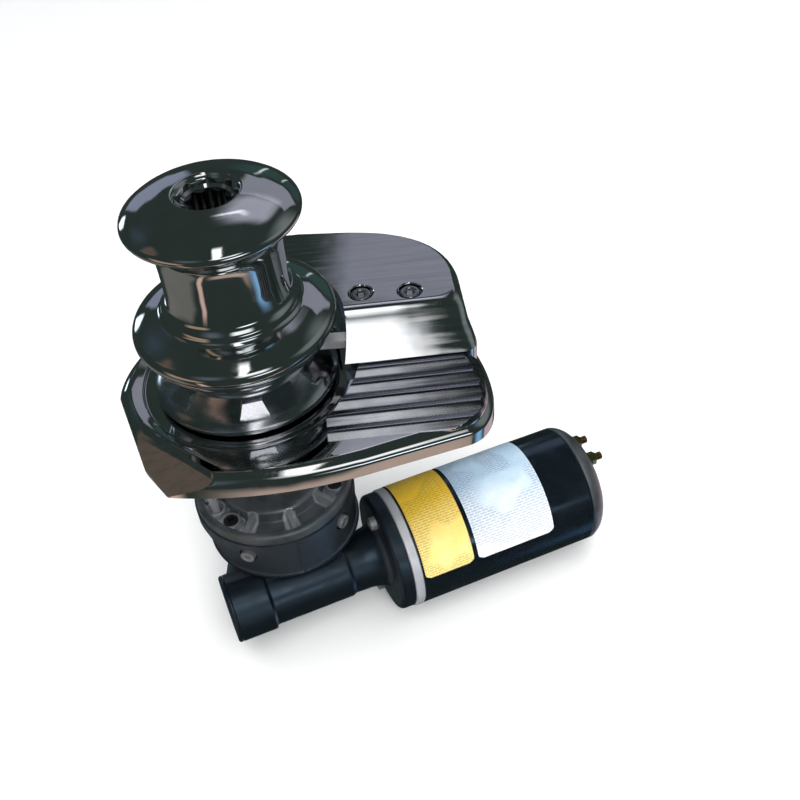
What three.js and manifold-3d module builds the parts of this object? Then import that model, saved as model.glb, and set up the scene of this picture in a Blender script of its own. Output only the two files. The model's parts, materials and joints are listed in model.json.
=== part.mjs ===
// Vertical anchor windlass: rope drum and chain gypsy on a polished deck base with a chain-pipe cover,
// and a worm gearbox with its electric motor below deck.
//
// Units are millimetres. +Z is up. The origin lies on the main shaft's axis at the deck plane, which is
// the underside of the base. +X runs along the base towards the chain pipe.

import * as THREE from 'three';
import { mergeVertices } from 'three/addons/utils/BufferGeometryUtils.js';
import Module from 'manifold-3d';

const wasm = await Module();
wasm.setup();

// ---------------------------------------------------------------- driving dimensions

const gap = 0.3;                // clearance between pieces that touch

// Deck base
const baseFront = -97;          // depth of the bulging front edge
const baseBack = 104;
const baseRight = 153;
const baseWall = 11;            // height of the upright side wall
const baseTop = 15;
const baseBevel = 5;            // inward width of the bevel above the side wall
const outlineSteps = 4;         // straight steps along each curve of the outline
const recessRadius = 67;
const recessFloor = 9.5;
const pocketDepth = 5;          // hollow under the casting
const pocketRim = 8;
const hubRadius = 27;
const hubDepth = 24;            // the hub centres the base in the deck hole
const facet = { x: -45, y: -64, slope: 32.7, heading: -132 };   // the plane that cuts the front-left corner

// Flutes on the base, in front of the cover
const fluteCount = 5;
const fluteFront = -74;
const creaseY = -22;            // where the flutes meet the cover
const creaseZ = 28;
const fluteLeft = 56;

// Chain-pipe cover
const coverTop = 50;
const coverWall = 4;
const coverEdgeY = 8;           // front edge of the flat top
const coverInset = 3;           // from the base's outline
const coverLeft = 26;           // the cover's left end, behind the gypsy
const coverArc = { x: -8, y: 0, radius: 75 };
const coverScrewSpots = [[78, 21], [109, 18]];
const coverScrewHead = 6.5;
const counterboreRadius = 7.8;
const counterboreDepth = 7;

// Chain pipe
const pipeCentre = { x: 97, y: 58 };
const pipeRadius = 22;
const pipeWall = 4;
const pipeDepth = 14;

// Chain stripper
const stripperAngle = -3;
const stripperWidth = 9;
const stripperZ = [30, 36];

// Main shaft and what stands on it
const shaftRadius = 12.5;
const shaftTop = 108;
const shaftStep = -171.5;       // the shaft is thinner in its lower bearing
const shaftBottom = -184;
const lowerJournal = 10;

// Gypsy (chain wheel)
const gypsyBottom = 12;
const gypsyTop = 52;
const gypsyRadius = 59;
const gypsyBore = 16.5;
const grooveRadius = 37;
const whelpCount = 6;

// Clutch cones
const coneWide = 34;
const coneNarrow = 28;
const coneHeight = 10;

// Drum
const drumFoot = 57;
const drumTop = 148;
const drumRimRadius = 52;
const drumLowerRadius = 62.5;
const barrelRadius = 37;
const socketDepth = 30;
const socketPoints = 8;

// Gearbox, turned about the main axis from the base's long axis
const gearboxYaw = 17.8;
const flangeTop = -88.8;
const flangeRadius = 56.4;
const flangeUnder = -97;
const flangeHubRadius = 36;
const flangeHubTop = -85;
const flangePeak = -80;         // top of the hub's cone, around the shaft
const housingRadius = 57.5;
const housingTaperZ = -106;     // the side wall draws in below here
const housingLipZ = -132;
const lip = { x: 2.2, y: -2.3, radius: 53 };   // the lip is centred towards the motor
const housingBottom = -186;
const lowerHousingRadius = 44;
const wheelCavity = 38.6;

// Deck studs, which clamp the deck between the base and the gearbox flange
const studCircle = 46;
const studAngles = [13, 167, 193, 347];        // in the gearbox's frame
const flangeScrewAngles = [34, 146, 214, 326];
const studRadius = 3.5;

// Worm drive
const wormOffset = -43.3;       // from the main axis, square to the motor
const wormZ = -160.8;
const wheelTeeth = 36;
const toothPitch = 5.81;        // axial pitch of the worm, arc pitch of the wheel
const wheelPitchRadius = wheelTeeth * toothPitch / (2 * Math.PI);
const wormPitchRadius = -wormOffset - wheelPitchRadius;
const addendum = 1.4;
const dedendum = 2;
const pressureSlope = Math.tan(THREE.MathUtils.degToRad(20));
const wormThreadWidth = 1.9;
const wheelToothWidth = 2.2;
const wheelFace = 14;
const wormHalfLength = 15;
const wormPhase = 0;            // turns the worm so that a wheel tooth stands between its threads

// Worm tube and motor, as distances along the motor axis from the main shaft
const tubeStart = -55.5;
const tubeStep = -29;           // the tube is thicker up to here
const tubeRadius = 22.5;
const tubeEnd = 32;
const neckRadius = 21.3;
const adaptorStart = 59.5;
const adaptorEnd = 70;
const adaptorRadius = 44.6;
const ringEnd = 77;
const motorRadius = 45.5;
const canEnd = 216;
const motorEnd = 231;

// ---------------------------------------------------------------- finishes

const finish = {
  polished: { color: 0xb9bec0, roughness: 0.08, metalness: 1 },
  stainless: { color: 0xa9adaf, roughness: 0.3, metalness: 1 },
  castAluminium: { color: 0x9aa0a2, roughness: 0.45, metalness: 1 },
  blackPaint: { color: 0x0b0d0e, roughness: 0.25, metalness: 0 },
  steel: { color: 0x8c8f92, roughness: 0.35, metalness: 1 },
  bronze: { color: 0xa87a3c, roughness: 0.4, metalness: 1 },
  brass: { color: 0xc09a4a, roughness: 0.35, metalness: 1 },
  copper: { color: 0xb06a44, roughness: 0.4, metalness: 1 },
  rubber: { color: 0x1a1a1b, roughness: 0.8, metalness: 0 },
  ferrite: { color: 0x2b2b2e, roughness: 0.7, metalness: 0 },
  laminations: { color: 0x6a6258, roughness: 0.55, metalness: 0.8 },
  resin: { color: 0x3a2a1c, roughness: 0.6, metalness: 0 },
};

// ---------------------------------------------------------------- solids

const degrees = THREE.MathUtils.degToRad;
const point = (x, y) => new THREE.Vector2(x, y);

// A manifold solid from a closed three.js geometry, turned right side out.
function solidOf(geometry) {
  geometry.deleteAttribute('normal');
  geometry.deleteAttribute('uv');
  const merged = mergeVertices(geometry, 1e-4);
  const place = merged.attributes.position;
  const index = merged.index.array;
  const triangles = [];
  let volume = 0;
  const a = new THREE.Vector3();
  const b = new THREE.Vector3();
  const c = new THREE.Vector3();
  for (let i = 0; i < index.length; i += 3) {
    const [p, q, r] = [index[i], index[i + 1], index[i + 2]];
    if (p === q || q === r || r === p) continue;
    triangles.push(p, q, r);
    a.fromBufferAttribute(place, p);
    b.fromBufferAttribute(place, q);
    c.fromBufferAttribute(place, r);
    volume += a.dot(b.cross(c));
  }
  if (volume < 0) triangles.reverse();
  const mesh = new wasm.Mesh({
    numProp: 3,
    vertProperties: new Float32Array(place.array),
    triVerts: new Uint32Array(triangles),
  });
  return new wasm.Manifold(mesh);
}

function geometryOf(solid) {
  const mesh = solid.getMesh();
  const geometry = new THREE.BufferGeometry();
  geometry.setAttribute('position', new THREE.BufferAttribute(mesh.vertProperties, 3));
  geometry.setIndex(new THREE.BufferAttribute(mesh.triVerts, 1));
  geometry.computeVertexNormals();
  return geometry;
}

const hull = (...solids) => wasm.Manifold.hull(solids);
const union = (first, ...rest) => rest.reduce((sum, solid) => sum.add(solid), first);
const cut = (first, ...rest) => rest.reduce((left, solid) => left.subtract(solid), first);

// A solid of revolution about Z from [radius, z] pairs that start and end on the axis.
function turned(profile, segments) {
  const outline = profile.map(([radius, z]) => point(radius, z));
  return solidOf(new THREE.LatheGeometry(outline, segments).rotateX(Math.PI / 2));
}

// A ring about Z between two radii.
function ring(inner, outer, low, high, segments = 20) {
  const outline = [[inner, low], [outer, low], [outer, high], [inner, high], [inner, low]];
  return turned(outline, segments);
}

function rod(radius, low, high, segments = 20) {
  return turned([[0, low], [radius, low], [radius, high], [0, high]], segments);
}

// Radius of a faceted bore that clears a round of the given radius at every angle.
const boreAround = (radius, segments = 20) => radius / Math.cos(Math.PI / segments) + 0.05;

function rodAt(x, y, radius, low, high, segments = 20) {
  return rod(radius, low, high, segments).translate([x, y, 0]);
}

function block(x0, x1, y0, y1, z0, z1) {
  const geometry = new THREE.BoxGeometry(x1 - x0, y1 - y0, z1 - z0);
  geometry.translate((x0 + x1) / 2, (y0 + y1) / 2, (z0 + z1) / 2);
  return solidOf(geometry);
}

function prism(shape, low, high, curveSegments = 10) {
  const settings = { depth: high - low, bevelEnabled: false, curveSegments };
  return solidOf(new THREE.ExtrudeGeometry(shape, settings).translate(0, 0, low));
}

// A prism whose outline is drawn in the Y-Z plane and which runs along X.
function prismAlongX(shape, start, end, curveSegments = 6) {
  const settings = { depth: end - start, bevelEnabled: false, curveSegments };
  const geometry = new THREE.ExtrudeGeometry(shape, settings).translate(0, 0, start);
  const turn = new THREE.Matrix4().set(
    0, 0, 1, 0,
    1, 0, 0, 0,
    0, 1, 0, 0,
    0, 0, 0, 1,
  );
  return solidOf(geometry.applyMatrix4(turn));
}

function hexagonAcross(flats, low, high) {
  const corner = flats / 2 / Math.cos(Math.PI / 6);
  return rod(corner, low, high, 6);
}

// A socket-head screw along Z: the head stands on z = 0, the shank goes down.
function capScrew(headRadius, headHeight, shankRadius, shankLength, segments = 12) {
  const chamfer = headRadius * 0.12;
  const body = turned([
    [0, -shankLength],
    [shankRadius, -shankLength],
    [shankRadius, 0],
    [headRadius, 0],
    [headRadius, headHeight - chamfer],
    [headRadius - chamfer, headHeight],
    [0, headHeight],
  ], segments);
  const socketFlats = headRadius * 0.95;
  return cut(body, hexagonAcross(socketFlats, headHeight * 0.45, headHeight + 1));
}

// A closed solid through a row of sections, each a list of [x, y, z] with the same count.
function loft(sections) {
  const count = sections[0].length;
  const places = sections.flat(2);
  const index = [];
  for (let s = 0; s + 1 < sections.length; s += 1) {
    for (let i = 0; i < count; i += 1) {
      const next = (i + 1) % count;
      const [a, b] = [s * count + i, s * count + next];
      const [c, d] = [a + count, b + count];
      index.push(a, b, d, a, d, c);
    }
  }
  const level = sections[0].every(([, , z]) => z === sections[0][0][2]);
  const flat = sections[0].map(([x, y, z]) => (level ? point(x, y) : point(Math.hypot(x, y), z)));
  const last = (sections.length - 1) * count;
  const side = Math.sign(THREE.ShapeUtils.area(flat));
  for (const [a, b, c] of THREE.ShapeUtils.triangulateShape(flat, [])) {
    const sameWay = Math.sign(THREE.ShapeUtils.area([flat[a], flat[b], flat[c]])) === side;
    const [p, q] = sameWay ? [c, b] : [b, c];
    index.push(a, p, q);
    index.push(last + a, last + q, last + p);
  }
  const geometry = new THREE.BufferGeometry();
  geometry.setAttribute('position', new THREE.Float32BufferAttribute(places, 3));
  geometry.setIndex(index);
  return solidOf(geometry);
}

// ---------------------------------------------------------------- the scene graph

const windlass = new THREE.Group();
const gearbox = new THREE.Group();
gearbox.rotation.z = degrees(gearboxYaw);
windlass.add(gearbox);

// Pieces on the motor axis are made about their own Z and laid along the gearbox's X.
const driveLine = new THREE.Group();
driveLine.position.set(0, wormOffset, wormZ);
driveLine.rotation.y = Math.PI / 2;
gearbox.add(driveLine);

function place(name, solid, look, parent = windlass) {
  const mesh = new THREE.Mesh(geometryOf(solid), new THREE.MeshStandardMaterial(look));
  mesh.name = name;
  parent.add(mesh);
  return mesh;
}

const polar = (radius, angle) => [
  radius * Math.cos(degrees(angle)),
  radius * Math.sin(degrees(angle)),
];

// A stud's place above deck, from its angle in the gearbox's frame.
const onDeck = (angle) => polar(studCircle, angle + gearboxYaw);

// ---------------------------------------------------------------- deck base

// The base's outline, drawn in from its edge by an inset: a bulging front, a square right end under
// the cover, and a left end that follows the gypsy.
function baseOutline(inset) {
  const front = baseFront + inset;
  const back = baseBack - inset;
  const right = baseRight - inset;
  const outline = new THREE.Shape();
  outline.moveTo(-47 + inset * 0.6, front + 6);
  outline.quadraticCurveTo(10, front - 6, 70, front + 7);
  outline.lineTo(134 - inset * 0.6, front + 22);
  outline.quadraticCurveTo(right - 2, front + 27, right, front + 52);
  outline.quadraticCurveTo(right + 1, -22, right - 6, 0);
  outline.lineTo(right - 7, 36);
  outline.quadraticCurveTo(right - 11, back - 25, 101 - inset * 0.5, back - 11);
  outline.quadraticCurveTo(76, back - 4, 38, back - 1);
  outline.quadraticCurveTo(-32 + inset * 0.4, back - 1, -62 + inset * 0.8, 46 - inset * 0.5);
  outline.quadraticCurveTo(-84 + inset, 14, -82 + inset, -10);
  outline.lineTo(-61 + inset, -70);
  return outline;
}

function basePlate() {
  const bevelSteps = 2;
  let body = prism(baseOutline(0), 0, baseWall, outlineSteps);
  for (let step = 1; step <= bevelSteps; step += 1) {
    const share = step / bevelSteps;
    const height = baseWall + (baseTop - baseWall) * share;
    body = body.add(prism(baseOutline(baseBevel * share * share), 0, height, outlineSteps));
  }

  const flutes = new THREE.Shape();
  flutes.moveTo(fluteFront, 1);
  flutes.lineTo(fluteFront, baseTop);
  const depth = (creaseY - fluteFront) / fluteCount;
  const rise = (creaseZ - baseTop) / fluteCount;
  for (let flute = 0; flute < fluteCount; flute += 1) {
    const y = fluteFront + depth * flute;
    const z = baseTop + rise * flute;
    flutes.quadraticCurveTo(y + depth * 0.35, z + rise * 1.1, y + depth, z + rise * 0.9);
    if (flute < fluteCount - 1) flutes.lineTo(y + depth, z + rise);
  }
  flutes.lineTo(creaseY, 1);
  const fluted = prismAlongX(flutes, fluteLeft, baseRight, 2);
  body = body.add(fluted.intersect(prism(baseOutline(baseBevel), 1, creaseZ + 5, outlineSteps)));

  const hub = rod(hubRadius, -hubDepth, recessFloor, 24);
  let pocket = prism(baseOutline(pocketRim), -1, pocketDepth, 3);
  pocket = cut(
    pocket,
    rod(hubRadius + 3, -2, pocketDepth + 1, 20),
    rodAt(pipeCentre.x, pipeCentre.y, pipeRadius + pipeWall + 4, -2, pocketDepth + 1, 20),
    ...studAngles.map((angle) => rodAt(...onDeck(angle), 9, -2, pocketDepth + 1, 8)),
    ...coverScrewSpots.map(([x, y]) => rodAt(x, y, 9, -2, pocketDepth + 1, 8)),
  );
  const chamfer = turned([
    [0, recessFloor],
    [recessRadius, recessFloor],
    [recessRadius, baseTop - 2],
    [recessRadius + 3, baseTop + 1],
    [recessRadius + 3, creaseZ + 10],
    [0, creaseZ + 10],
  ], 40);
  const corner = block(-60, 60, -60, 60, 0, 40)
    .rotate([0, facet.slope, facet.heading])
    .translate([facet.x, facet.y, baseTop]);
  body = cut(body, pocket, chamfer, corner);
  body = union(body, hub);
  return cut(
    body,
    rod(18 + gap, -hubDepth - 1, recessFloor + 1, 24),
    rodAt(pipeCentre.x, pipeCentre.y, boreAround(pipeRadius + pipeWall + gap, 24), -1, baseTop + 1, 24),
    ...studAngles.map((angle) => rodAt(...onDeck(angle), studRadius + gap, -1, 7.5, 10)),
    ...coverScrewSpots.map(([x, y]) => rodAt(x, y, 4 + gap, 3, baseTop + 1, 10)),
    rodAt(...polar(83, stripperAngle), 2.5 + gap, 6, baseTop + 1, 8),
  );
}
place('base_plate', basePlate(), finish.polished);

const chainPipe = ring(pipeRadius, pipeRadius + pipeWall, -pipeDepth, baseTop, 24);
place('chain_pipe', chainPipe.translate([pipeCentre.x, pipeCentre.y, 0]), finish.polished);

// ---------------------------------------------------------------- chain-pipe cover

// The cover's section in Y-Z: a flat top, and a swept front face that comes down to the flutes.
function coverSection(inset, low) {
  const top = coverTop - inset;
  const front = creaseY + gap + inset;
  const section = new THREE.Shape();
  section.moveTo(front, low);
  section.lineTo(front, creaseZ + 0.8);
  section.quadraticCurveTo(front + 10, top - 1, coverEdgeY + inset / 2, top);
  section.lineTo(baseBack - inset, top);
  section.lineTo(baseBack - inset, low);
  return section;
}

function chainCover() {
  const seat = baseTop + gap;
  const level = (inset, low, high) => prism(baseOutline(inset), low, high, outlineSteps);
  const sides = union(
    hull(level(coverInset, seat - 1, seat), level(coverInset + 3, coverTop - 5, coverTop - 4)),
    hull(level(coverInset + 3, coverTop - 5, coverTop - 4), level(coverInset + 5, coverTop, coverTop + 1)),
  );
  const outer = prismAlongX(coverSection(0, seat), coverLeft, baseRight + 5).intersect(sides);
  const inner = prismAlongX(coverSection(coverWall, seat - 2), coverLeft + coverWall, baseRight + 5)
    .intersect(prism(baseOutline(coverInset + coverWall + 3), seat - 2, coverTop - coverWall, 3));
  const arc = (radius, low, high) => rodAt(coverArc.x, coverArc.y, radius, low, high, 48);
  const hollow = cut(inner, arc(coverArc.radius + coverWall, 0, coverTop + 1));
  const bosses = coverScrewSpots.map(([x, y]) => rodAt(x, y, 10, seat, coverTop - 1, 20));
  let cover = cut(outer, arc(coverArc.radius, 0, coverTop + 1), hollow);
  cover = union(cover, ...bosses);
  const mouth = block(20, 100, 34, 76, seat - 1, coverTop - coverWall);
  const slotRoom = 0.8;
  const slotHigh = stripperZ[1];
  const half = stripperWidth / 2 + slotRoom;
  const slot = block(50, 78, -half, half, seat - 1, slotHigh + slotRoom)
    .rotate([0, 0, stripperAngle]);
  const drillings = coverScrewSpots.flatMap(([x, y]) => [
    rodAt(x, y, 4 + gap, seat - 1, coverTop + 1, 12),
    rodAt(x, y, counterboreRadius, coverTop - counterboreDepth, coverTop + 1, 16),
  ]);
  return cut(cover, mouth, slot, ...drillings);
}
place('chain_cover', chainCover(), finish.polished);

coverScrewSpots.forEach(([x, y], i) => {
  const screw = place(`cover_screw_${i + 1}`, capScrew(coverScrewHead, 6, 4, 32, 14), finish.stainless);
  screw.position.set(x, y, coverTop - counterboreDepth + gap);
});

// ---------------------------------------------------------------- chain stripper

// A finger that reaches into the gypsy's groove, on a foot screwed to the base under the cover.
function chainStripper() {
  const [low, high] = stripperZ;
  const half = stripperWidth / 2;
  const seat = baseTop + gap;
  const finger = block(45, 79, -half, half, low, high);
  const leg = block(74.5, 79, -half, half, seat, high);
  const foot = block(74.5, 88, -half, half, seat, seat + 4);
  return cut(union(finger, leg, foot), rodAt(83, 0, 2.5 + gap, seat - 1, seat + 5, 12));
}
const stripper = place('chain_stripper', chainStripper(), finish.stainless);
stripper.rotation.z = degrees(stripperAngle);

const stripperScrew = place('stripper_screw', capScrew(3.6, 4, 2.5, 12, 12), finish.stainless);
stripperScrew.position.set(...polar(83, stripperAngle), baseTop + 4 + 2 * gap);

// ---------------------------------------------------------------- shaft support in the base

place('base_bush', ring(boreAround(shaftRadius), 18, -22, 5.5), finish.bronze);
place('base_seal', ring(boreAround(shaftRadius), 18, 5.8, recessFloor - 0.5), finish.rubber);

// ---------------------------------------------------------------- deck studs

const studLow = -114;
studAngles.forEach((angle, i) => {
  const [x, y] = polar(studCircle, angle);
  const stud = place(`deck_stud_${i + 1}`, rod(studRadius, studLow, 7, 10), finish.stainless, gearbox);
  stud.position.set(x, y, 0);
  const nut = cut(union(hexagonAcross(10, 0, 6), rod(6, 0, 1.2, 12)), rod(studRadius + gap, -5, 10, 10));
  const fixed = place(`stud_nut_${i + 1}`, nut, finish.stainless, gearbox);
  fixed.rotation.x = Math.PI;
  fixed.position.set(x, y, flangeUnder - gap);
});

// ---------------------------------------------------------------- gearbox flange

const flangeFloor = -94;
const spigotRadius = 39.5;
const flangeScrewSeat = -93.5;
const lockScrewAngles = [-127, -53, 53, 127];
const lockScrewZ = -107;
const bearing = { bore: boreAround(shaftRadius), outer: 21, low: -101, high: -89 };

function gearboxFlange() {
  const disc = turned([
    [0, flangeUnder],
    [flangeRadius, flangeUnder],
    [flangeRadius, flangeTop - 0.8],
    [flangeRadius - 0.8, flangeTop],
    [flangeRadius - 5, flangeTop],
    [flangeRadius - 6, flangeFloor],
    [flangeHubRadius + 2, flangeFloor],
    [flangeHubRadius + 1, flangeHubTop],
    [flangeHubRadius - 1, flangeHubTop + 0.5],
    [18, flangePeak],
    [0, flangePeak],
  ], 36);
  const spigot = ring(31, spigotRadius - gap, -112, flangeUnder + 1, 20);
  const collar = rod(26, -104, flangeUnder + 1, 20);
  const ribs = [-128, -90, -52, 52, 90, 128].map((angle) => block(
    flangeHubRadius - 2, flangeRadius - 3, -2.2, 2.2, flangeFloor - 1, flangeTop - 1.5,
  ).rotate([0, 0, angle]));
  const pads = [...studAngles, ...flangeScrewAngles].map((angle) => (
    rodAt(...polar(studCircle, angle), 7.5, flangeFloor - 1, flangeTop - 1, 10)));
  return cut(
    union(disc, spigot, collar, ...ribs, ...pads),
    rod(bearing.outer + gap, -118, bearing.high + gap, 24),
    rod(16, bearing.high - 1, flangePeak + 1, 20),
    ...studAngles.map((angle) => rodAt(...polar(studCircle, angle), studRadius + 0.5, -118, -80, 8)),
    ...studAngles.map((angle) => rodAt(...polar(studCircle, angle), 5.5, flangeScrewSeat, -80, 10)),
    ...flangeScrewAngles.map((angle) => rodAt(...polar(studCircle, angle), 5.4, flangeScrewSeat, -80, 10)),
    ...flangeScrewAngles.map((angle) => rodAt(...polar(studCircle, angle), 3 + gap, -118, -80, 8)),
  );
}
place('gearbox_flange', gearboxFlange(), finish.castAluminium, gearbox);

flangeScrewAngles.forEach((angle, i) => {
  const screw = place(`flange_screw_${i + 1}`, capScrew(4.9, 4, 3, 26, 10), finish.steel, gearbox);
  screw.position.set(...polar(studCircle, angle), flangeScrewSeat + gap);
});

place('flange_seal', ring(boreAround(shaftRadius), 16 - gap, -88.3, flangePeak - 0.5), finish.rubber);
place('upper_bearing', ring(bearing.bore, bearing.outer, bearing.low, bearing.high), finish.steel);

// ---------------------------------------------------------------- gearbox housing

// Lays a solid made about Z along the motor axis.
const onDriveLine = (solid) => solid.rotate([0, 90, 0]).translate([0, wormOffset, wormZ]);

const housingTop = flangeUnder - gap;
const lowerBearing = { outer: 17, low: -183.5, high: -173.5 };
const oilPlugX = -32;
const motorScrewCircle = 36;
const motorScrewAngles = [0, 180];

function gearboxHousing() {
  const atLip = (radius, low, high) => rodAt(lip.x, lip.y, radius, low, high, 36);
  const upper = union(
    rod(housingRadius, housingTaperZ, housingTop, 36),
    hull(
      rod(housingRadius, housingTaperZ, housingTaperZ + 1, 36),
      atLip(lip.radius, housingLipZ, housingLipZ + 1),
    ),
    atLip(lip.radius + 2, housingLipZ - 2.5, housingLipZ + 0.5),
  );
  const lower = turned([
    [0, housingBottom],
    [lowerHousingRadius - 3, housingBottom],
    [lowerHousingRadius, housingBottom + 3],
    [lowerHousingRadius, -162],
    [lowerHousingRadius + 6, housingLipZ - 1],
    [0, housingLipZ - 1],
  ], 28);
  const web = hull(
    onDriveLine(rod(tubeRadius - 1, tubeStart + 2, tubeStep, 16)),
    rod(lowerHousingRadius - 4, -182, -150, 20),
  );
  const tube = onDriveLine(turned([
    [0, tubeStart + 0.3],
    [tubeRadius + 2.4, tubeStart + 0.3],
    [tubeRadius + 2.4, tubeStep],
    [tubeRadius, tubeStep + 1],
    [tubeRadius, tubeEnd - 1],
    [neckRadius, tubeEnd + 1],
    [neckRadius + 1, adaptorStart - 7],
    [neckRadius + 3.5, adaptorStart + 1],
    [0, adaptorStart + 1],
  ], 24));
  const adaptor = onDriveLine(turned([
    [0, adaptorStart],
    [adaptorRadius - 2, adaptorStart],
    [adaptorRadius, adaptorStart + 2],
    [adaptorRadius, adaptorEnd],
    [0, adaptorEnd],
  ], 32));
  const ribWidth = 2;
  const ribs = [-90, 0, 90].map((angle) => block(
    lip.radius - 5, housingRadius + 0.6, -ribWidth, ribWidth, housingLipZ - 1, housingTop - 1,
  ).rotate([0, 0, angle]));

  const body = union(upper, lower, web, tube, adaptor, ...ribs);
  return cut(
    body,
    rod(spigotRadius, -140, housingTop + 1, 20),
    rod(wheelCavity, lowerBearing.high + 0.3, -138, 32),
    rod(lowerBearing.outer + gap, housingBottom - 1, -170, 24),
    onDriveLine(rod(13, -45, 45, 20)),
    onDriveLine(rod(18, tubeStart - 1, -37, 24)),
    onDriveLine(rod(16, 35, adaptorEnd + 1, 24)),
    ...studAngles.map((angle) => rodAt(...polar(studCircle, angle), 8.2, -120, -90, 10)),
    ...flangeScrewAngles.map((angle) => (
      rodAt(...polar(studCircle, angle), 3 + gap, -122, -90, 8))),
    ...lockScrewAngles.map((angle) => rod(3.5, 30, 60, 8).rotate([0, 90, 0])
      .translate([0, 0, lockScrewZ]).rotate([0, 0, angle])),
    ...lockScrewAngles.map((angle) => rod(6.6, housingRadius - 3, 70, 10).rotate([0, 90, 0])
      .translate([0, 0, lockScrewZ]).rotate([0, 0, angle])),
    ...motorScrewAngles.map((angle) => onDriveLine(
      rodAt(...polar(motorScrewCircle, angle), 3 + gap, adaptorStart - 1, adaptorEnd + 1, 8))),
    rodAt(oilPlugX, 0, 4.5, housingBottom - 1, -170, 8),
  );
}
place('gearbox_housing', gearboxHousing(), finish.blackPaint, gearbox);

lockScrewAngles.forEach((angle, i) => {
  const spin = new THREE.Group();
  spin.rotation.z = degrees(angle);
  gearbox.add(spin);
  const screw = place(`lock_screw_${i + 1}`, capScrew(5, 5, 3, 11, 10), finish.stainless, spin);
  screw.rotation.y = Math.PI / 2;
  screw.position.set(housingRadius - 3 + gap, 0, lockScrewZ);
});

place('lower_bearing', ring(
  boreAround(lowerJournal), lowerBearing.outer, lowerBearing.low, lowerBearing.high,
), finish.steel, gearbox);

place('bottom_cover', cut(
  rod(24, housingBottom - 3.5, housingBottom - gap, 24),
  hexagonAcross(12, housingBottom - 4, housingBottom - 1.5),
), finish.blackPaint, gearbox);

const plug = place('oil_plug', capScrew(6, 4, 4, 10), finish.brass, gearbox);
plug.rotation.x = Math.PI;
plug.position.set(oilPlugX, 0, housingBottom - gap);

// ---------------------------------------------------------------- worm drive

const wheelRoot = wheelPitchRadius - dedendum;
const wheelTip = wheelPitchRadius + addendum;
const wormRoot = wormPitchRadius - dedendum;
const wormTip = wormPitchRadius + addendum;

function wormWheel() {
  const helixTurn = (height) => height * toothPitch / (2 * Math.PI * wormPitchRadius) / wheelPitchRadius;
  const tipHalf = (wheelToothWidth / 2 - addendum * pressureSlope) / wheelTip;
  const rootHalf = (wheelToothWidth / 2 + dedendum * pressureSlope) / wheelRoot;
  const section = (height) => {
    const outline = [];
    for (let tooth = 0; tooth < wheelTeeth; tooth += 1) {
      const middle = 2 * Math.PI * (tooth + 0.5) / wheelTeeth - Math.PI / 2 + helixTurn(height);
      const corners = [
        [wheelRoot, -rootHalf], [wheelTip, -tipHalf], [wheelTip, tipHalf], [wheelRoot, rootHalf],
      ];
      for (const [radius, turn] of corners) {
        outline.push([radius * Math.cos(middle + turn), radius * Math.sin(middle + turn), wormZ + height]);
      }
    }
    return outline;
  };
  const teeth = loft([section(-wheelFace / 2), section(wheelFace / 2)]);
  const hub = rod(18, wormZ - 9, wormZ + 9, 20);
  return cut(union(teeth, hub), rod(shaftRadius + gap, wormZ - 20, wormZ + 20, 20));
}
place('worm_wheel', wormWheel(), finish.bronze, gearbox);

// The worm's thread is a trapezoid swept along a right-handed helix.
function wormThread() {
  const steps = 12;
  const turns = 2 * wormHalfLength / toothPitch;
  const half = (radius) => wormThreadWidth / 2 + (wormPitchRadius - radius) * pressureSlope;
  const buried = wormRoot - 0.6;
  const corners = [
    [buried, -half(buried)], [wormTip, -half(wormTip)], [wormTip, half(wormTip)], [buried, half(buried)],
  ];
  const sections = [];
  const count = Math.round(turns * steps);
  for (let k = 0; k <= count; k += 1) {
    const turn = 2 * Math.PI * (k - count / 2) / steps;
    const along = toothPitch * turn / (2 * Math.PI);
    sections.push(corners.map(([radius, shift]) => [
      radius * Math.cos(turn + Math.PI / 2), radius * Math.sin(turn + Math.PI / 2), along + shift,
    ]));
  }
  return loft(sections);
}

const wormJournal = 8.5;
const worm = place('worm_shaft', union(turned([
  [0, -48],
  [wormJournal, -48],
  [wormJournal, -36],
  [wormRoot + 0.6, -33],
  [wormRoot, -22],
  [wormRoot, 22],
  [wormRoot + 0.6, 33],
  [wormJournal, 36],
  [wormJournal, 58],
  [0, 58],
], 14), wormThread()), finish.steel, driveLine);
worm.rotation.z = degrees(wormPhase);

place('worm_bearing_1', ring(boreAround(wormJournal), 17.7, -47, -37.5), finish.steel, driveLine);
place('worm_bearing_2', ring(boreAround(wormJournal), 15.7, 36, 46), finish.steel, driveLine);

place('worm_end_cap', turned([
  [0, tubeStart - 3],
  [tubeRadius + 1, tubeStart - 3],
  [tubeRadius + 2.4, tubeStart - 1.5],
  [tubeRadius + 2.4, tubeStart],
  [18 - gap, tubeStart],
  [18 - gap, tubeStart + 6],
  [0, tubeStart + 6],
], 28), finish.blackPaint, driveLine);

// ---------------------------------------------------------------- motor

motorScrewAngles.forEach((angle, i) => {
  const screw = place(`motor_screw_${i + 1}`, capScrew(5, 5, 3, 17), finish.stainless, driveLine);
  screw.rotation.x = Math.PI;
  screw.position.set(...polar(motorScrewCircle, angle), adaptorStart - gap);
});

place('motor_front_ring', cut(turned([
  [14, adaptorEnd + gap],
  [motorRadius, adaptorEnd + gap],
  [motorRadius, ringEnd],
  [motorRadius - 4, ringEnd],
  [motorRadius - 4, ringEnd + 4],
  [14, ringEnd + 4],
  [14, adaptorEnd + gap],
], 32), ...motorScrewAngles.map((angle) => (
  rodAt(...polar(motorScrewCircle, angle), 3 + gap, adaptorEnd - 1, ringEnd + 1, 8)))),
finish.castAluminium, driveLine);

const canBore = motorRadius - 3.5;
place('motor_can', ring(canBore, motorRadius, ringEnd + gap, canEnd, 36), finish.blackPaint, driveLine);

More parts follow.
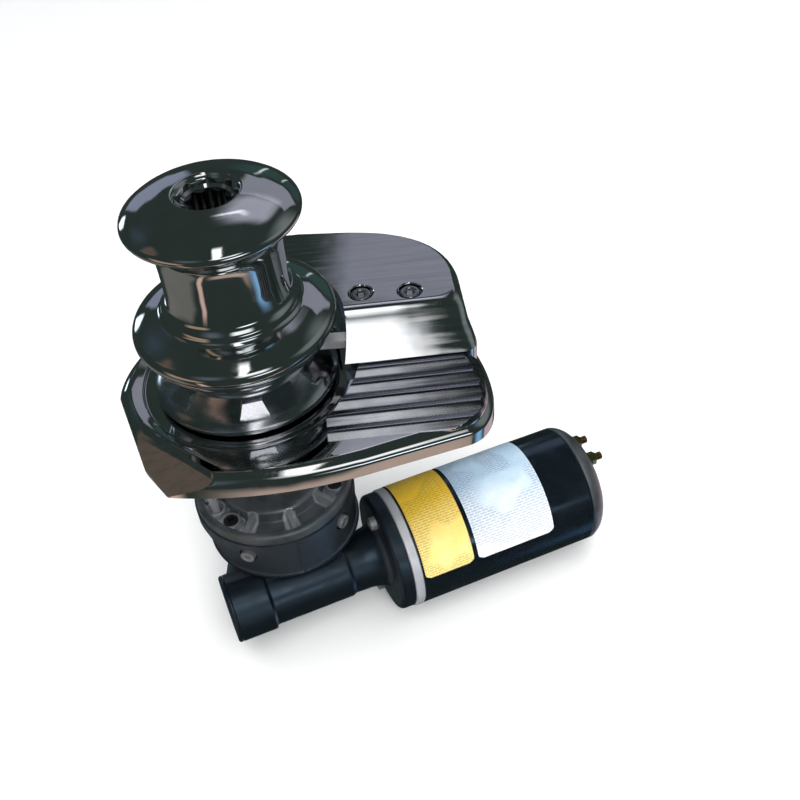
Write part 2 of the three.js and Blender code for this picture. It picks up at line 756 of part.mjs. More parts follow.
const armature = { radius: 34, start: 98, end: 176 };
for (const side of [1, -1]) {
  const inner = armature.radius + 1;
  const outer = motorRadius - 3.5 - gap;
  const arc = new THREE.Shape();
  arc.absarc(0, 0, outer, degrees(-62), degrees(62), false);
  arc.absarc(0, 0, inner, degrees(62), degrees(-62), true);
  const magnet = place(`field_magnet_${side > 0 ? 1 : 2}`,
    prism(arc, armature.start - 4, armature.end + 4, 5), finish.ferrite, driveLine);
  magnet.rotation.z = side > 0 ? 0 : Math.PI;
}

const terminalCircle = 29;
const terminalAngles = [150, 195];
const armatureJournal = 6;
place('armature', turned([
  [0, 62],
  [wormJournal, 62],
  [wormJournal, 80],
  [11, 82],
  [11, armature.start - 14],
  [22, armature.start - 12],
  [28, armature.start],
  [armature.radius, armature.start],
  [armature.radius, armature.end],
  [28, armature.end],
  [20, armature.end + 8],
  [7, armature.end + 9],
  [armatureJournal, 203],
  [armatureJournal, 213],
  [0, 213],
], 16), finish.laminations, driveLine);

place('drive_coupling', cut(
  rod(12, 51, 70, 16),
  rod(boreAround(wormJournal, 16), 50, 71, 16),
), finish.steel, driveLine);

place('commutator', ring(7.8, 14, 187, 201, 16), finish.copper, driveLine);

const brushes = union(
  ring(26, motorRadius - 3.5 - gap, 190, 196, 24),
  block(-30, 30, -5, 5, 190, 198).subtract(rod(14.6, 180, 210, 16)),
);
place('brush_holder', brushes, finish.resin, driveLine);

place('rear_bearing', ring(boreAround(armatureJournal, 16), 11, 204.5, 212.5, 16), finish.steel, driveLine);

place('motor_end_cap', cut(turned([
  [0, canEnd - 12],
  [15, canEnd - 12],
  [15, canEnd - 4],
  [motorRadius - 4, canEnd - 4],
  [motorRadius - 4, canEnd + gap],
  [motorRadius, canEnd + gap],
  [motorRadius, canEnd + 3],
  [motorRadius - 3, canEnd + 9],
  [motorRadius - 11, motorEnd],
  [0, motorEnd],
], 32), rod(11 + 2 * gap, canEnd - 13, canEnd - 1.2, 16),
...terminalAngles.map((angle) => (
  rodAt(...polar(terminalCircle, angle), 3 + gap, canEnd - 5, motorEnd + 1, 8)
))),
finish.castAluminium, driveLine);

terminalAngles.forEach((angle, i) => {
  const terminal = place(`terminal_${i + 1}`, union(
    rod(3, canEnd - 2, motorEnd + 11, 8),
    hexagonAcross(9, motorEnd + gap, motorEnd + 5),
  ), finish.brass, driveLine);
  const [x, y] = polar(terminalCircle, angle);
  terminal.position.set(x, y, 0);
});

// ---------------------------------------------------------------- main shaft and clutch

const keyTop = 55;
const keyBottom = 10;
const keyHalf = 3;

function mainShaft() {
  const shaft = turned([
    [0, shaftBottom],
    [lowerJournal, shaftBottom],
    [lowerJournal, shaftStep],
    [shaftRadius, shaftStep],
    [shaftRadius, shaftTop - 1.5],
    [shaftRadius - 1.5, shaftTop],
    [0, shaftTop],
  ], 24);
  return cut(
    shaft,
    block(9.5, 20, -keyHalf - gap, keyHalf + gap, keyBottom - gap, keyTop + gap),
    rod(4 + gap, 88, shaftTop + 1, 8),
  );
}
place('main_shaft', mainShaft(), finish.stainless);
place('clutch_key', block(9.8, 15.2, -keyHalf, keyHalf, keyBottom, keyTop), finish.steel);

function clutchCone(low, high, lowRadius, highRadius) {
  const cone = turned([[0, low], [lowRadius, low], [highRadius, high], [0, high]], 20);
  return cut(
    cone,
    rod(shaftRadius + gap, low - 1, high + 1, 16),
    block(0, 15.5, -keyHalf - gap, keyHalf + gap, low - 1, high + 1),
  );
}
const seatSlack = 0.5;
place('lower_clutch_cone', clutchCone(
  gypsyBottom - 1, gypsyBottom + coneHeight - 1, coneWide - seatSlack, coneNarrow - seatSlack,
), finish.bronze);
place('upper_clutch_cone', clutchCone(
  gypsyTop - coneHeight + 1, drumFoot - gap, coneNarrow - seatSlack, coneWide - seatSlack + 2.4,
), finish.bronze);

place('wheel_spacer', ring(shaftRadius + gap, 16, wormZ + 9 + gap, bearing.low - gap, 24), finish.steel);

// ---------------------------------------------------------------- gypsy

function gypsy() {
  const middle = (gypsyBottom + gypsyTop) / 2;
  const body = turned([
    [0, gypsyBottom],
    [gypsyRadius - 1.5, gypsyBottom],
    [gypsyRadius, gypsyBottom + 1.5],
    [gypsyRadius, gypsyBottom + 4],
    [gypsyRadius - 3, gypsyBottom + 6.5],
    [48, gypsyBottom + 10],
    [grooveRadius + 2, middle - 5],
    [grooveRadius, middle],
    [grooveRadius + 2, middle + 5],
    [48, gypsyTop - 10],
    [gypsyRadius - 4, gypsyTop - 6.5],
    [gypsyRadius - 1, gypsyTop - 4],
    [gypsyRadius - 1, gypsyTop - 1.5],
    [gypsyRadius - 2.5, gypsyTop],
    [0, gypsyTop],
  ], 30);
  const whelps = [];
  const whelpTop = middle + 5.5;
  const whelpLow = middle - 5.5;
  for (let i = 0; i < whelpCount; i += 1) {
    const turn = 360 * i / whelpCount;
    const profile = (low, high) => block(30, 55, -5.5, 5.5, low, high).rotate([0, 0, turn]);
    whelps.push(profile(gypsyBottom + 5, whelpLow), profile(whelpTop, gypsyTop - 5));
  }
  const lowerSeat = turned([
    [0, gypsyBottom - 1],
    [coneWide + 0.6, gypsyBottom - 1],
    [coneNarrow, gypsyBottom + coneHeight],
    [0, gypsyBottom + coneHeight],
  ], 20);
  const upperSeat = turned([
    [0, gypsyTop - coneHeight],
    [coneNarrow, gypsyTop - coneHeight],
    [coneWide + 0.6, gypsyTop + 1],
    [0, gypsyTop + 1],
  ], 20);
  return cut(union(body, ...whelps), lowerSeat, upperSeat, rod(gypsyBore, 0, 60, 24));
}
place('gypsy', gypsy(), finish.polished);

// ---------------------------------------------------------------- drum

// A star-shaped prism for a winch handle.
function starPrism(points, outer, inner, low, high) {
  const star = new THREE.Shape();
  for (let i = 0; i < 2 * points; i += 1) {
    const radius = i % 2 ? inner : outer;
    const angle = Math.PI * i / points;
    const corner = [radius * Math.cos(angle), radius * Math.sin(angle)];
    if (i) star.lineTo(...corner);
    else star.moveTo(...corner);
  }
  return prism(star, low, high);
}

function drum() {
  const body = turned([
    [0, drumFoot],
    [48, drumFoot],
    [drumLowerRadius - 2.5, 54.8],
    [drumLowerRadius, 56.5],
    [drumLowerRadius, 60.5],
    [drumLowerRadius - 1.5, 62.6],
    [53, 68],
    [43, 71],
    [42, 75],
    [barrelRadius + 1, 79],
    [barrelRadius, 98],
    [barrelRadius + 0.5, 116],
    [42, 126],
    [drumRimRadius, 132],
    [drumRimRadius - 0.6, 136],
    [38, 144],
    [20, drumTop],
    [0, drumTop],
  ], 32);
  const webLow = shaftTop + 2.5;
  return cut(
    body,
    rod(boreAround(shaftRadius), drumFoot - 1, shaftTop + 1.5, 24),
    starPrism(socketPoints, 19.5, 16.5, drumTop - 4, drumTop + 1),
    starPrism(socketPoints, 13, 10.5, drumTop - socketDepth, drumTop),
    rod(4 + 2 * gap, webLow - 8, drumTop, 8),
  );
}
place('drum', drum(), finish.polished);

const stopScrew = place('drum_stop_screw', capScrew(7.5, 5, 4, 26), finish.stainless);
stopScrew.position.set(0, 0, drumTop - socketDepth + 1.5);

export default windlass;
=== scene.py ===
"""Looks of the anchor windlass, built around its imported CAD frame.

Sizes are in millimetres in this script and become metres as each mesh is made. +Z is up, the origin
lies on the main shaft's axis at the deck plane, and +X runs along the base towards the chain pipe.
"""
import json
import math

import bmesh
import bpy
from mathutils import Matrix, Vector


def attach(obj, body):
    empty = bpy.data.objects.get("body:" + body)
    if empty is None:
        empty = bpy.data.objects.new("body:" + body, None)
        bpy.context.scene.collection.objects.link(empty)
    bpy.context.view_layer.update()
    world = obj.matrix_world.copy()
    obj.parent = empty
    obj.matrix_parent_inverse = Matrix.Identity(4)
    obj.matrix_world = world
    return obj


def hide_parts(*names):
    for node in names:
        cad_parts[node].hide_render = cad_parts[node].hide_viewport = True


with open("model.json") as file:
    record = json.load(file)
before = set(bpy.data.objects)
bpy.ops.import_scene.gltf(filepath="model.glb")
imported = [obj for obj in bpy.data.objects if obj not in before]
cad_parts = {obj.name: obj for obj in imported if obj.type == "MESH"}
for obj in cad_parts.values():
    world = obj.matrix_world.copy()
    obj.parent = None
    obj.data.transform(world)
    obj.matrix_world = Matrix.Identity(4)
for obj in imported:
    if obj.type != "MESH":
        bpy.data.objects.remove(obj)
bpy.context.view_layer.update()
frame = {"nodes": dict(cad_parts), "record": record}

# ---------------------------------------------------------------- driving dimensions

BASE_FRONT = -97
BASE_BACK = 104
BASE_RIGHT = 153
BASE_TOP = 15
RECESS_RADIUS = 67
RECESS_FLOOR = 9.5
RECESS_LIP = 75             # outer edge of the sloped lip around the gypsy's recess
FACET = (-45, -64)          # the sloped plane that cuts the front-left corner
FACET_SLOPE = 32.7
FACET_HEADING = -132

FLUTE_COUNT = 5
FLUTE_FRONT = -74
CREASE_Y = -22              # where the flutes meet the cover
CREASE_Z = 28

COVER_TOP = 50
COVER_EDGE_Y = 8            # front edge of the cover's flat top
COVER_LEFT = 26
COVER_WALL = 4
COVER_ARC = (-8, 0, 75)     # centre and radius of the cover's concave end
COVER_SCREWS = [(78, 21), (109, 18)]
COUNTERBORE = (7.8, 7)      # radius and depth

PIPE = (97, 58)             # centre of the chain pipe
PIPE_BORE = 26.4
STRIPPER_ANGLE = -3
STRIPPER_SCREW = 83         # distance of the stripper's screw from the main shaft

WHELP_PHASE = 38            # turns the gypsy so that one whelp faces the front

GEARBOX_YAW = 17.8
WORM_OFFSET = -43.3
WORM_Z = -160.8
STUD_CIRCLE = 46
STUD_ANGLES = [13, 167, 193, 347]
FLANGE_SCREW_ANGLES = [34, 146, 214, 326]
LOCK_SCREW_ANGLES = [-127, -53, 53, 127]

TUBE_START = -55.5
ADAPTOR_START = 59.5
ADAPTOR_END = 70
RING_END = 77
MOTOR_RADIUS = 45.5
CAN_END = 216
MOTOR_END = 231
TERMINAL_ANGLES = (150, 195)
TERMINAL_CIRCLE = 29
LABEL_ANGLES = (100, 257)

FLOOR_Z = -207
ROUND = 128                 # segments of a large turned piece

MM = 0.001
gearbox = Matrix.Rotation(math.radians(GEARBOX_YAW), 4, "Z")
drive_line_local = Matrix.Translation((0, WORM_OFFSET, WORM_Z)) @ Matrix.Rotation(math.pi / 2, 4, "Y")
drive_line = gearbox @ drive_line_local


def polar(radius, angle):
    return radius * math.cos(math.radians(angle)), radius * math.sin(math.radians(angle))


# ---------------------------------------------------------------- materials


class Look:
    """A node material with short ways to add the nodes that it needs."""

    def __init__(self, name, color, metallic, roughness):
        self.material = bpy.data.materials.new(name)
        self.material.use_nodes = True
        self.nodes = self.material.node_tree.nodes
        self.links = self.material.node_tree.links
        self.shader = self.nodes["Principled BSDF"]
        self.shader.inputs["Base Color"].default_value = (*color, 1)
        self.shader.inputs["Metallic"].default_value = metallic
        self.shader.inputs["Roughness"].default_value = roughness
        self.place = self.nodes.new("ShaderNodeTexCoord").outputs["Object"]
        self.height = None

    def noise(self, scale, detail=3, stretch=(1, 1, 1)):
        """Noise from 0 to 1 whose features are about 1/scale metres, stretched along an axis."""
        mapping = self.nodes.new("ShaderNodeMapping")
        mapping.inputs["Scale"].default_value = stretch
        self.links.new(self.place, mapping.inputs["Vector"])
        node = self.nodes.new("ShaderNodeTexNoise")
        node.inputs["Scale"].default_value = scale
        node.inputs["Detail"].default_value = detail
        self.links.new(mapping.outputs["Vector"], node.inputs["Vector"])
        return node.outputs["Fac"]

    def spread(self, value, low, high, start=0.35, end=0.65):
        """The value between start and end, spread over low to high."""
        node = self.nodes.new("ShaderNodeMapRange")
        node.inputs["From Min"].default_value = start
        node.inputs["From Max"].default_value = end
        node.inputs["To Min"].default_value = low
        node.inputs["To Max"].default_value = high
        self.links.new(value, node.inputs["Value"])
        return node.outputs["Result"]

    def math(self, operation, first, second):
        node = self.nodes.new("ShaderNodeMath")
        node.operation = operation
        for socket, value in zip(node.inputs, (first, second)):
            if isinstance(value, (int, float)):
                socket.default_value = value
            else:
                self.links.new(value, socket)
        return node.outputs["Value"]

    def blend(self, share, first, second):
        """A colour between two colours, each a tuple or a socket."""
        node = self.nodes.new("ShaderNodeMix")
        node.data_type = "RGBA"
        if isinstance(share, (int, float)):
            node.inputs["Factor"].default_value = share
        else:
            self.links.new(share, node.inputs["Factor"])
        for name, value in (("A", first), ("B", second)):
            socket = [s for s in node.inputs if s.name == name and s.type == "RGBA"][0]
            if isinstance(value, tuple):
                socket.default_value = (*value, 1)
            else:
                self.links.new(value, socket)
        return [s for s in node.outputs if s.type == "RGBA"][0]

    def color(self, socket):
        self.links.new(socket, self.shader.inputs["Base Color"])

    def roughness(self, socket):
        self.links.new(socket, self.shader.inputs["Roughness"])

    def bump(self, height, depth, strength=1.0):
        """Raises the surface by up to depth metres. Bumps add up."""
        node = self.nodes.new("ShaderNodeBump")
        node.inputs["Strength"].default_value = strength
        node.inputs["Distance"].default_value = depth
        self.links.new(height, node.inputs["Height"])
        if self.height is not None:
            self.links.new(self.height, node.inputs["Normal"])
        self.height = node.outputs["Normal"]
        self.links.new(self.height, self.shader.inputs["Normal"])

    def edges(self):
        """0 in hollows, 0.5 on flat ground and 1 on sharp edges."""
        return self.nodes.new("ShaderNodeNewGeometry").outputs["Pointiness"]


def polished_steel():
    look = Look("polished_stainless", (0.7, 0.71, 0.72), 1, 0.06)
    cloud = look.noise(45, 4)
    swirl = look.noise(420, 2, (1, 1, 0.25))
    look.color(look.blend(look.spread(cloud, 0, 1), (0.66, 0.675, 0.68), (0.74, 0.745, 0.75)))
    haze = look.math("MULTIPLY", look.spread(cloud, 0.02, 0.09), look.spread(swirl, 0.6, 1.3))
    look.roughness(haze)
    look.bump(look.noise(26, 2), 0.0006, 0.35)
    look.bump(swirl, 0.00002, 0.3)
    return look.material


def satin_chrome():
    """A softer, darker chrome, for the chain wheel."""
    look = Look("satin_chrome", (0.65, 0.65, 0.68), 1, 0.14)
    cloud = look.noise(50, 4)
    grain = look.noise(700, 3)
    look.color(look.blend(look.spread(cloud, 0, 1), (0.52, 0.53, 0.56), (0.74, 0.74, 0.8)))
    look.roughness(look.math("ADD", look.spread(cloud, 0.08, 0.18), look.spread(grain, 0, 0.04)))
    look.bump(look.noise(40, 2), 0.0006, 0.35)
    look.bump(grain, 0.00001, 0.4)
    return look.material


def streaked_steel(name, dark, light, haze):
    """Mirror steel with long polishing streaks along X, between two tones and with some haze."""
    look = Look(name, light, 1, haze)
    cloud = look.noise(38, 4)
    streaks = look.noise(260, 3, (0.05, 1, 1))
    wide = look.noise(70, 2, (0.12, 1, 1))
    look.color(look.blend(look.spread(streaks, 0, 1), dark, light))
    clouded = look.spread(cloud, haze - 0.03, haze + 0.03)
    look.roughness(look.math("ADD", clouded, look.spread(streaks, 0.0, 0.12, 0.45, 0.75)))
    look.bump(look.noise(24, 2), 0.0006, 0.35)
    look.bump(wide, 0.0001, 0.35)
    look.bump(streaks, 0.00003, 0.35)
    return look.material


def brushed_steel(name, color, roughness=0.34, contrast=0.3, metallic=1.0, depth=0.00003):
    look = Look(name, color, metallic, roughness)
    grain = look.noise(240, 2, (1, 1, 3))
    cloud = look.noise(90, 3)
    darker = tuple(c * (1 - contrast) for c in color)
    look.color(look.blend(look.spread(cloud, 0, 1), darker, color))
    look.roughness(look.spread(grain, roughness - 0.05, roughness + 0.08))
    look.bump(grain, depth, 0.5)
    return look.material


def cast_metal(name, color, roughness=0.4):
    """A cast surface whose sharp edges are painted a pale colour, a painted highlight on rims and ribs."""
    look = Look(name, color, 0.9, roughness)
    grain = look.noise(950, 3)
    cloud = look.noise(60, 4)
    # Sharp edges blend towards a pale colour: a painted highlight along rims and ribs.
    painted_edge_highlight = look.spread(look.edges(), 0, 0.9, 0.515, 0.57)
    darker = tuple(c * 0.62 for c in color)
    body = look.blend(look.spread(cloud, 0, 1), darker, color)
    look.color(look.blend(painted_edge_highlight, body, (0.86, 0.88, 0.92)))
    look.roughness(look.spread(cloud, roughness - 0.1, roughness + 0.14))
    look.bump(grain, 0.00012, 0.6)
    look.bump(look.noise(180, 2), 0.0003, 0.4)
    return look.material


def black_paint(name, grain_depth, gloss):
    """Black gloss paint with a blue sheen, some dust, and edges painted paler as a painted highlight."""
    look = Look(name, (0.004, 0.005, 0.006), 0, gloss)
    look.shader.inputs["IOR"].default_value = 2.3
    look.shader.inputs["Specular Tint"].default_value = (0.55, 0.76, 1, 1)
    cloud = look.noise(70, 4)
    dust = look.noise(700, 3)
    # Sharp edges blend towards a paler grey: a painted highlight along lips and steps.
    painted_edge_highlight = look.spread(look.edges(), 0, 0.4, 0.53, 0.6)
    base = look.blend(look.spread(dust, 0, 0.3, 0.58, 0.8), (0.003, 0.004, 0.006), (0.025, 0.028, 0.032))
    look.color(look.blend(painted_edge_highlight, base, (0.05, 0.055, 0.062)))
    look.roughness(look.spread(cloud, gloss - 0.06, gloss + 0.1))
    look.bump(look.noise(520, 3), grain_depth, 0.7)
    look.bump(look.noise(60, 2), grain_depth * 2.5, 0.4)
    return look.material


def dull(name, color, roughness, scale=500):
    look = Look(name, color, 0, roughness)
    grain = look.noise(scale, 4)
    cloud = look.noise(80, 3)
    lighter = tuple(min(1, c * 1.6 + 0.01) for c in color)
    look.color(look.blend(look.spread(cloud, 0, 0.6), color, lighter))
    look.roughness(look.spread(grain, roughness - 0.08, min(1, roughness + 0.1)))
    look.bump(grain, 0.0001, 0.5)
    return look.material


def label(name, color, painted_highlight_tint, ink):
    """A printed foil: a paper colour that runs from a painted shade to a painted highlight round the wrap,
    with rows of short ruled marks and a slight sheen.
    """
    look = Look(name, color, 0, 0.3)
    look.shader.inputs["Coat Weight"].default_value = 0.3
    look.place = look.nodes["Texture Coordinate"].outputs["UV"]
    marks = look.nodes.new("ShaderNodeTexBrick")
    marks.inputs["Color1"].default_value = (1, 1, 1, 1)
    marks.inputs["Color2"].default_value = (0.55, 0.55, 0.55, 1)
    marks.inputs["Mortar"].default_value = (0, 0, 0, 1)
    marks.inputs["Scale"].default_value = 1
    marks.inputs["Mortar Size"].default_value = 0.35
    marks.inputs["Mortar Smooth"].default_value = 0.2
    marks.inputs["Brick Width"].default_value = 5.5
    marks.inputs["Row Height"].default_value = 1.9
    marks.offset = 0.37
    look.links.new(look.place, marks.inputs["Vector"])
    split = look.nodes.new("ShaderNodeSeparateXYZ")
    look.links.new(look.place, split.inputs["Vector"])
    # The paper runs from the first colour, a painted shade, to the second, a painted highlight, between 145
    # and 195 mm round the wrap; noise makes that border uneven.
    uneven_border = look.spread(look.noise(0.06, 3), -0.15, 0.15)
    paper = look.blend(look.math("ADD", look.spread(split.outputs["Y"], 0, 1, 145, 195), uneven_border), color, painted_highlight_tint)
    patches = look.spread(look.noise(0.03, 1), 0, 0.5, 0.46, 0.52)
    printed = look.math("MULTIPLY", look.spread(marks.outputs["Color"], 0, 1, 0.3, 0.5), patches)
    look.color(look.blend(printed, paper, ink))
    look.roughness(look.spread(look.noise(0.8, 3), 0.24, 0.42))
    look.bump(look.noise(1.4, 2), 0.00004, 0.4)
    return look.material


# ---------------------------------------------------------------- meshes


def piece(name, points, faces, material=None):
    """A mesh object from points in millimetres."""
    mesh = bpy.data.meshes.new(name)
    mesh.from_pydata([Vector(p) * MM for p in points], [], faces)
    mesh.update()
    body = bmesh.new()
    body.from_mesh(mesh)
    bmesh.ops.remove_doubles(body, verts=body.verts, dist=1e-7)
    bmesh.ops.recalc_face_normals(body, faces=body.faces)
    body.to_mesh(mesh)
    body.free()
    obj = bpy.data.objects.new(name, mesh)
    bpy.context.scene.collection.objects.link(obj)
    if material:
        mesh.materials.append(material)
    return obj


def loft(name, loops, material=None):
    """A closed solid through a row of loops, each a list of points with the same count."""
    count = len(loops[0])
    points = [p for loop in loops for p in loop]
    faces = [tuple(reversed(range(count)))]
    for level in range(len(loops) - 1):
        for i in range(count):
            a, b = level * count + i, level * count + (i + 1) % count
            faces.append((a, b, b + count, a + count))
    faces.append(tuple(range((len(loops) - 1) * count, len(loops) * count)))
    return piece(name, points, faces, material)


def eased(profile):
    """A profile of (radius, z, rounding) corners with each corner rounded off."""
    steps = 4
    places = [Vector((p[0], p[1])) for p in profile]
    result = []
    for i, corner in enumerate(profile):
        here = places[i]
        size = corner[2] if len(corner) > 2 else 0
        if size == 0 or i in (0, len(profile) - 1):
            result.append(tuple(here))
            continue
        before, after = places[i - 1] - here, places[i + 1] - here
        reach = min(size, before.length * 0.49, after.length * 0.49)
        start, end = here + before.normalized() * reach, here + after.normalized() * reach
        for k in range(steps + 1):
            t = k / steps
            spot = start * (1 - t) ** 2 + here * 2 * t * (1 - t) + end * t**2
            result.append(tuple(spot))
    return result


def turned(name, profile, material=None, segments=ROUND, closed=False):
    """A solid of revolution about Z. The profile starts and ends on the axis unless it is closed."""
    outline = eased(profile)
    points, rows = [], []
    for radius, z in outline:
        if radius < 1e-6:
            rows.append([len(points)] * segments)
            points.append((0, 0, z))
            continue
        rows.append(list(range(len(points), len(points) + segments)))
        for i in range(segments):
            angle = 2 * math.pi * i / segments
            points.append((radius * math.cos(angle), radius * math.sin(angle), z))
    if closed:
        rows.append(rows[0])
    faces = []
    for low, high in zip(rows, rows[1:]):
        for i in range(segments):
            j = (i + 1) % segments
            corners = []
            for k in (low[i], low[j], high[j], high[i]):
                if k not in corners:
                    corners.append(k)
            if len(corners) > 2:
                faces.append(tuple(corners))
    return piece(name, points, faces, material)


def rod(name, radius, low, high, material=None, segments=48, at=(0, 0)):
    obj = turned(name, [(0, low), (radius, low), (radius, high), (0, high)], material, segments)
    return moved(obj, Matrix.Translation((at[0], at[1], 0)))


def block(name, low, high, material=None):
    (x0, y0, z0), (x1, y1, z1) = low, high
    bottom = [(x0, y0, z0), (x1, y0, z0), (x1, y1, z0), (x0, y1, z0)]
    return loft(name, [bottom, [(x, y, z1) for x, y, _ in bottom]], material)


def prism(name, outline, low, high, material=None):
    return loft(name, [[(x, y, low) for x, y in outline], [(x, y, high) for x, y in outline]], material)


def moved(obj, matrix):
    """Moves a mesh's points by a matrix whose lengths are in millimetres."""
    shift = matrix.copy()
    shift.translation *= MM
    obj.data.transform(shift)
    return obj


def turned_to(obj, angle):
    return moved(obj, Matrix.Rotation(math.radians(angle), 4, "Z"))


def applied(obj):
    """Bakes the modifiers into the mesh."""
    graph = bpy.context.evaluated_depsgraph_get()
    baked = bpy.data.meshes.new_from_object(obj.evaluated_get(graph))
    obj.modifiers.clear()
    obj.data = baked
    return obj


def combine(obj, others, operation):
    """Joins other solids to a solid, or cuts them from it, and removes them."""
    for other in others:
        step = obj.modifiers.new(operation, "BOOLEAN")
        step.operation = operation
        step.solver = "EXACT"
        step.object = other
        applied(obj)
        bpy.data.objects.remove(other)
    return obj


def cut(obj, *others):
    return combine(obj, others, "DIFFERENCE")


def joined(obj, *others):
    return combine(obj, others, "UNION")


def finished(obj, body, node=None, slot=None, round_edges=0.0, sharp=35, segments=2):
    """Rounds a piece's edges, shades it smooth and ties it to its CAD body."""
    if round_edges:
        bevel = obj.modifiers.new("edges", "BEVEL")
        bevel.width = round_edges * MM
        bevel.segments = segments
        bevel.limit_method = "ANGLE"
        bevel.angle_limit = math.radians(sharp)
        bevel.use_clamp_overlap = True
        bevel.harden_normals = False
        applied(obj)
    obj.data.shade_smooth()
    obj.data.set_sharp_from_angle(angle=math.radians(sharp))
    flats = obj.modifiers.new("flats", "WEIGHTED_NORMAL")
    flats.keep_sharp = True
    flats.weight = 90
    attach(obj, body)
    if node:
        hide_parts(*([node] if isinstance(node, str) else node))
    return obj


def copies(name, source, matrices, body, nodes, slot, **edges):
    """One finished piece for each matrix, from one source mesh."""
    for i, matrix in enumerate(matrices):
        obj = bpy.data.objects.new(f"{name}_{i + 1}", source.data.copy())
        bpy.context.scene.collection.objects.link(obj)
        moved(obj, matrix)
        finished(obj, body, nodes[i], slot, **edges)
    bpy.data.objects.remove(source)


# ---------------------------------------------------------------- the finishes

POLISHED = polished_steel()
STREAKED = streaked_steel("streaked_stainless", (0.6, 0.62, 0.65), (0.76, 0.76, 0.77), 0.05)
FLUTED = streaked_steel("fluted_stainless", (0.17, 0.18, 0.21), (0.46, 0.46, 0.5), 0.14)
CHROME = satin_chrome()
STAINLESS = brushed_steel("satin_stainless", (0.68, 0.69, 0.71), 0.34, 0.12, 0.75, 0.00001)
BOLT_STEEL = brushed_steel("bolt_steel", (0.5, 0.51, 0.53), 0.17, 0.2, 1.0, 0.00001)
ZINC = brushed_steel("zinc", (0.66, 0.68, 0.7), 0.34, 0.4, 0.85, 0.00001)
STEEL = brushed_steel("machined_steel", (0.46, 0.47, 0.48))
# Dark steel for the flange screws; inside the drum's socket the same dark colour is a painted shade in the
# recess.
DARK_STEEL_AND_SOCKET_SHADE = brushed_steel("dark_steel_and_socket_shade", (0.12, 0.125, 0.13), 0.35)
CAST = cast_metal("cast_aluminium", (0.34, 0.37, 0.4), 0.39)
TURNED_ALUMINIUM = brushed_steel("turned_aluminium", (0.8, 0.81, 0.86), 0.34, 0.08, 0.6, 0.00001)
HOUSING_PAINT = black_paint("housing_black", 0.00005, 0.35)
CAN_PAINT = black_paint("can_black", 0.00003, 0.155)
BRONZE = brushed_steel("bronze", (0.55, 0.38, 0.18))
BRASS = brushed_steel("brass", (0.75, 0.57, 0.27), 0.19)
COPPER = brushed_steel("copper", (0.7, 0.36, 0.22))
RUBBER = dull("seal_rubber", (0.02, 0.02, 0.02), 0.7)
FERRITE = dull("ferrite", (0.045, 0.045, 0.05), 0.6)
LAMINATIONS = dull("laminations", (0.2, 0.18, 0.16), 0.5, 1500)
RESIN = dull("resin", (0.12, 0.07, 0.04), 0.5)

SLOT_LOOKS = {
    "polished_stainless": POLISHED,
    "stainless_fittings": STAINLESS,
    "machined_steel": STEEL,
    "cast_aluminium": CAST,
    "black_paint": HOUSING_PAINT,
    "bronze": BRONZE,
    "brass": BRASS,
    "copper": COPPER,
    "seal_rubber": RUBBER,
    "ferrite": FERRITE,
    "laminations": LAMINATIONS,
    "resin": RESIN,
}

# Every CAD node gets its slot's finish; the pieces below replace the ones whose shape shows most.
for part in frame["record"]["subparts"]:
    node = frame["nodes"][part["node"]]
    node.data.materials.clear()
    node.data.materials.append(SLOT_LOOKS[part["material_slot"]])
    node.data.shade_smooth()
    node.data.set_sharp_from_angle(angle=math.radians(28))

# ---------------------------------------------------------------- deck base


def curve(start, control, end, steps=14):
    """Points along a quadratic curve, without its start."""
    a, b, c = Vector(start), Vector(control), Vector(end)
    spots = []
    for k in range(1, steps + 1):
        t = k / steps
        spots.append(tuple(a * (1 - t) ** 2 + b * 2 * t * (1 - t) + c * t**2))
    return spots


def base_outline(inset):
    """The base's outline, drawn in by an inset: bulging front, square right end, curved back."""
    front, back, right = BASE_FRONT + inset, BASE_BACK - inset, BASE_RIGHT - inset
    ease = 1.2
    corner = (-47 + inset * 0.6, front + 6)
    line = [(corner[0] + ease * 2, corner[1] - ease * 0.3)]
    line += curve(line[-1], (10, front - 6), (70, front + 7), 24)
    line.append((134 - inset * 0.6, front + 22))
    line += curve(line[-1], (right - 2, front + 27), (right, front + 52), 20)
    line += curve(line[-1], (right + 1, -22), (right - 6, 0), 10)
    line.append((right - 7, 36))
    line += curve(line[-1], (right - 11, back - 25), (101 - inset * 0.5, back - 11), 20)
    line += curve(line[-1], (76, back - 4), (38, back - 1), 12)
    line += curve(line[-1], (-32 + inset * 0.4, back - 1), (-62 + inset * 0.8, 46 - inset * 0.5), 20)
    line += curve(line[-1], (-84 + inset, 14), (-82 + inset, -10), 12)
    line.append((-61 + inset - ease, -70 + ease * 2))
    line += curve(line[-1], (-61 + inset, -70), (-61 + inset + ease, -70 - ease * 1.7), 4)
    line.append((corner[0] - ease, corner[1] + ease * 1.8))
    line += curve(line[-1], corner, line[0], 4)[:-1]
    return line


def at_height(outline, z):
    return [(x, y, z) for x, y in outline]


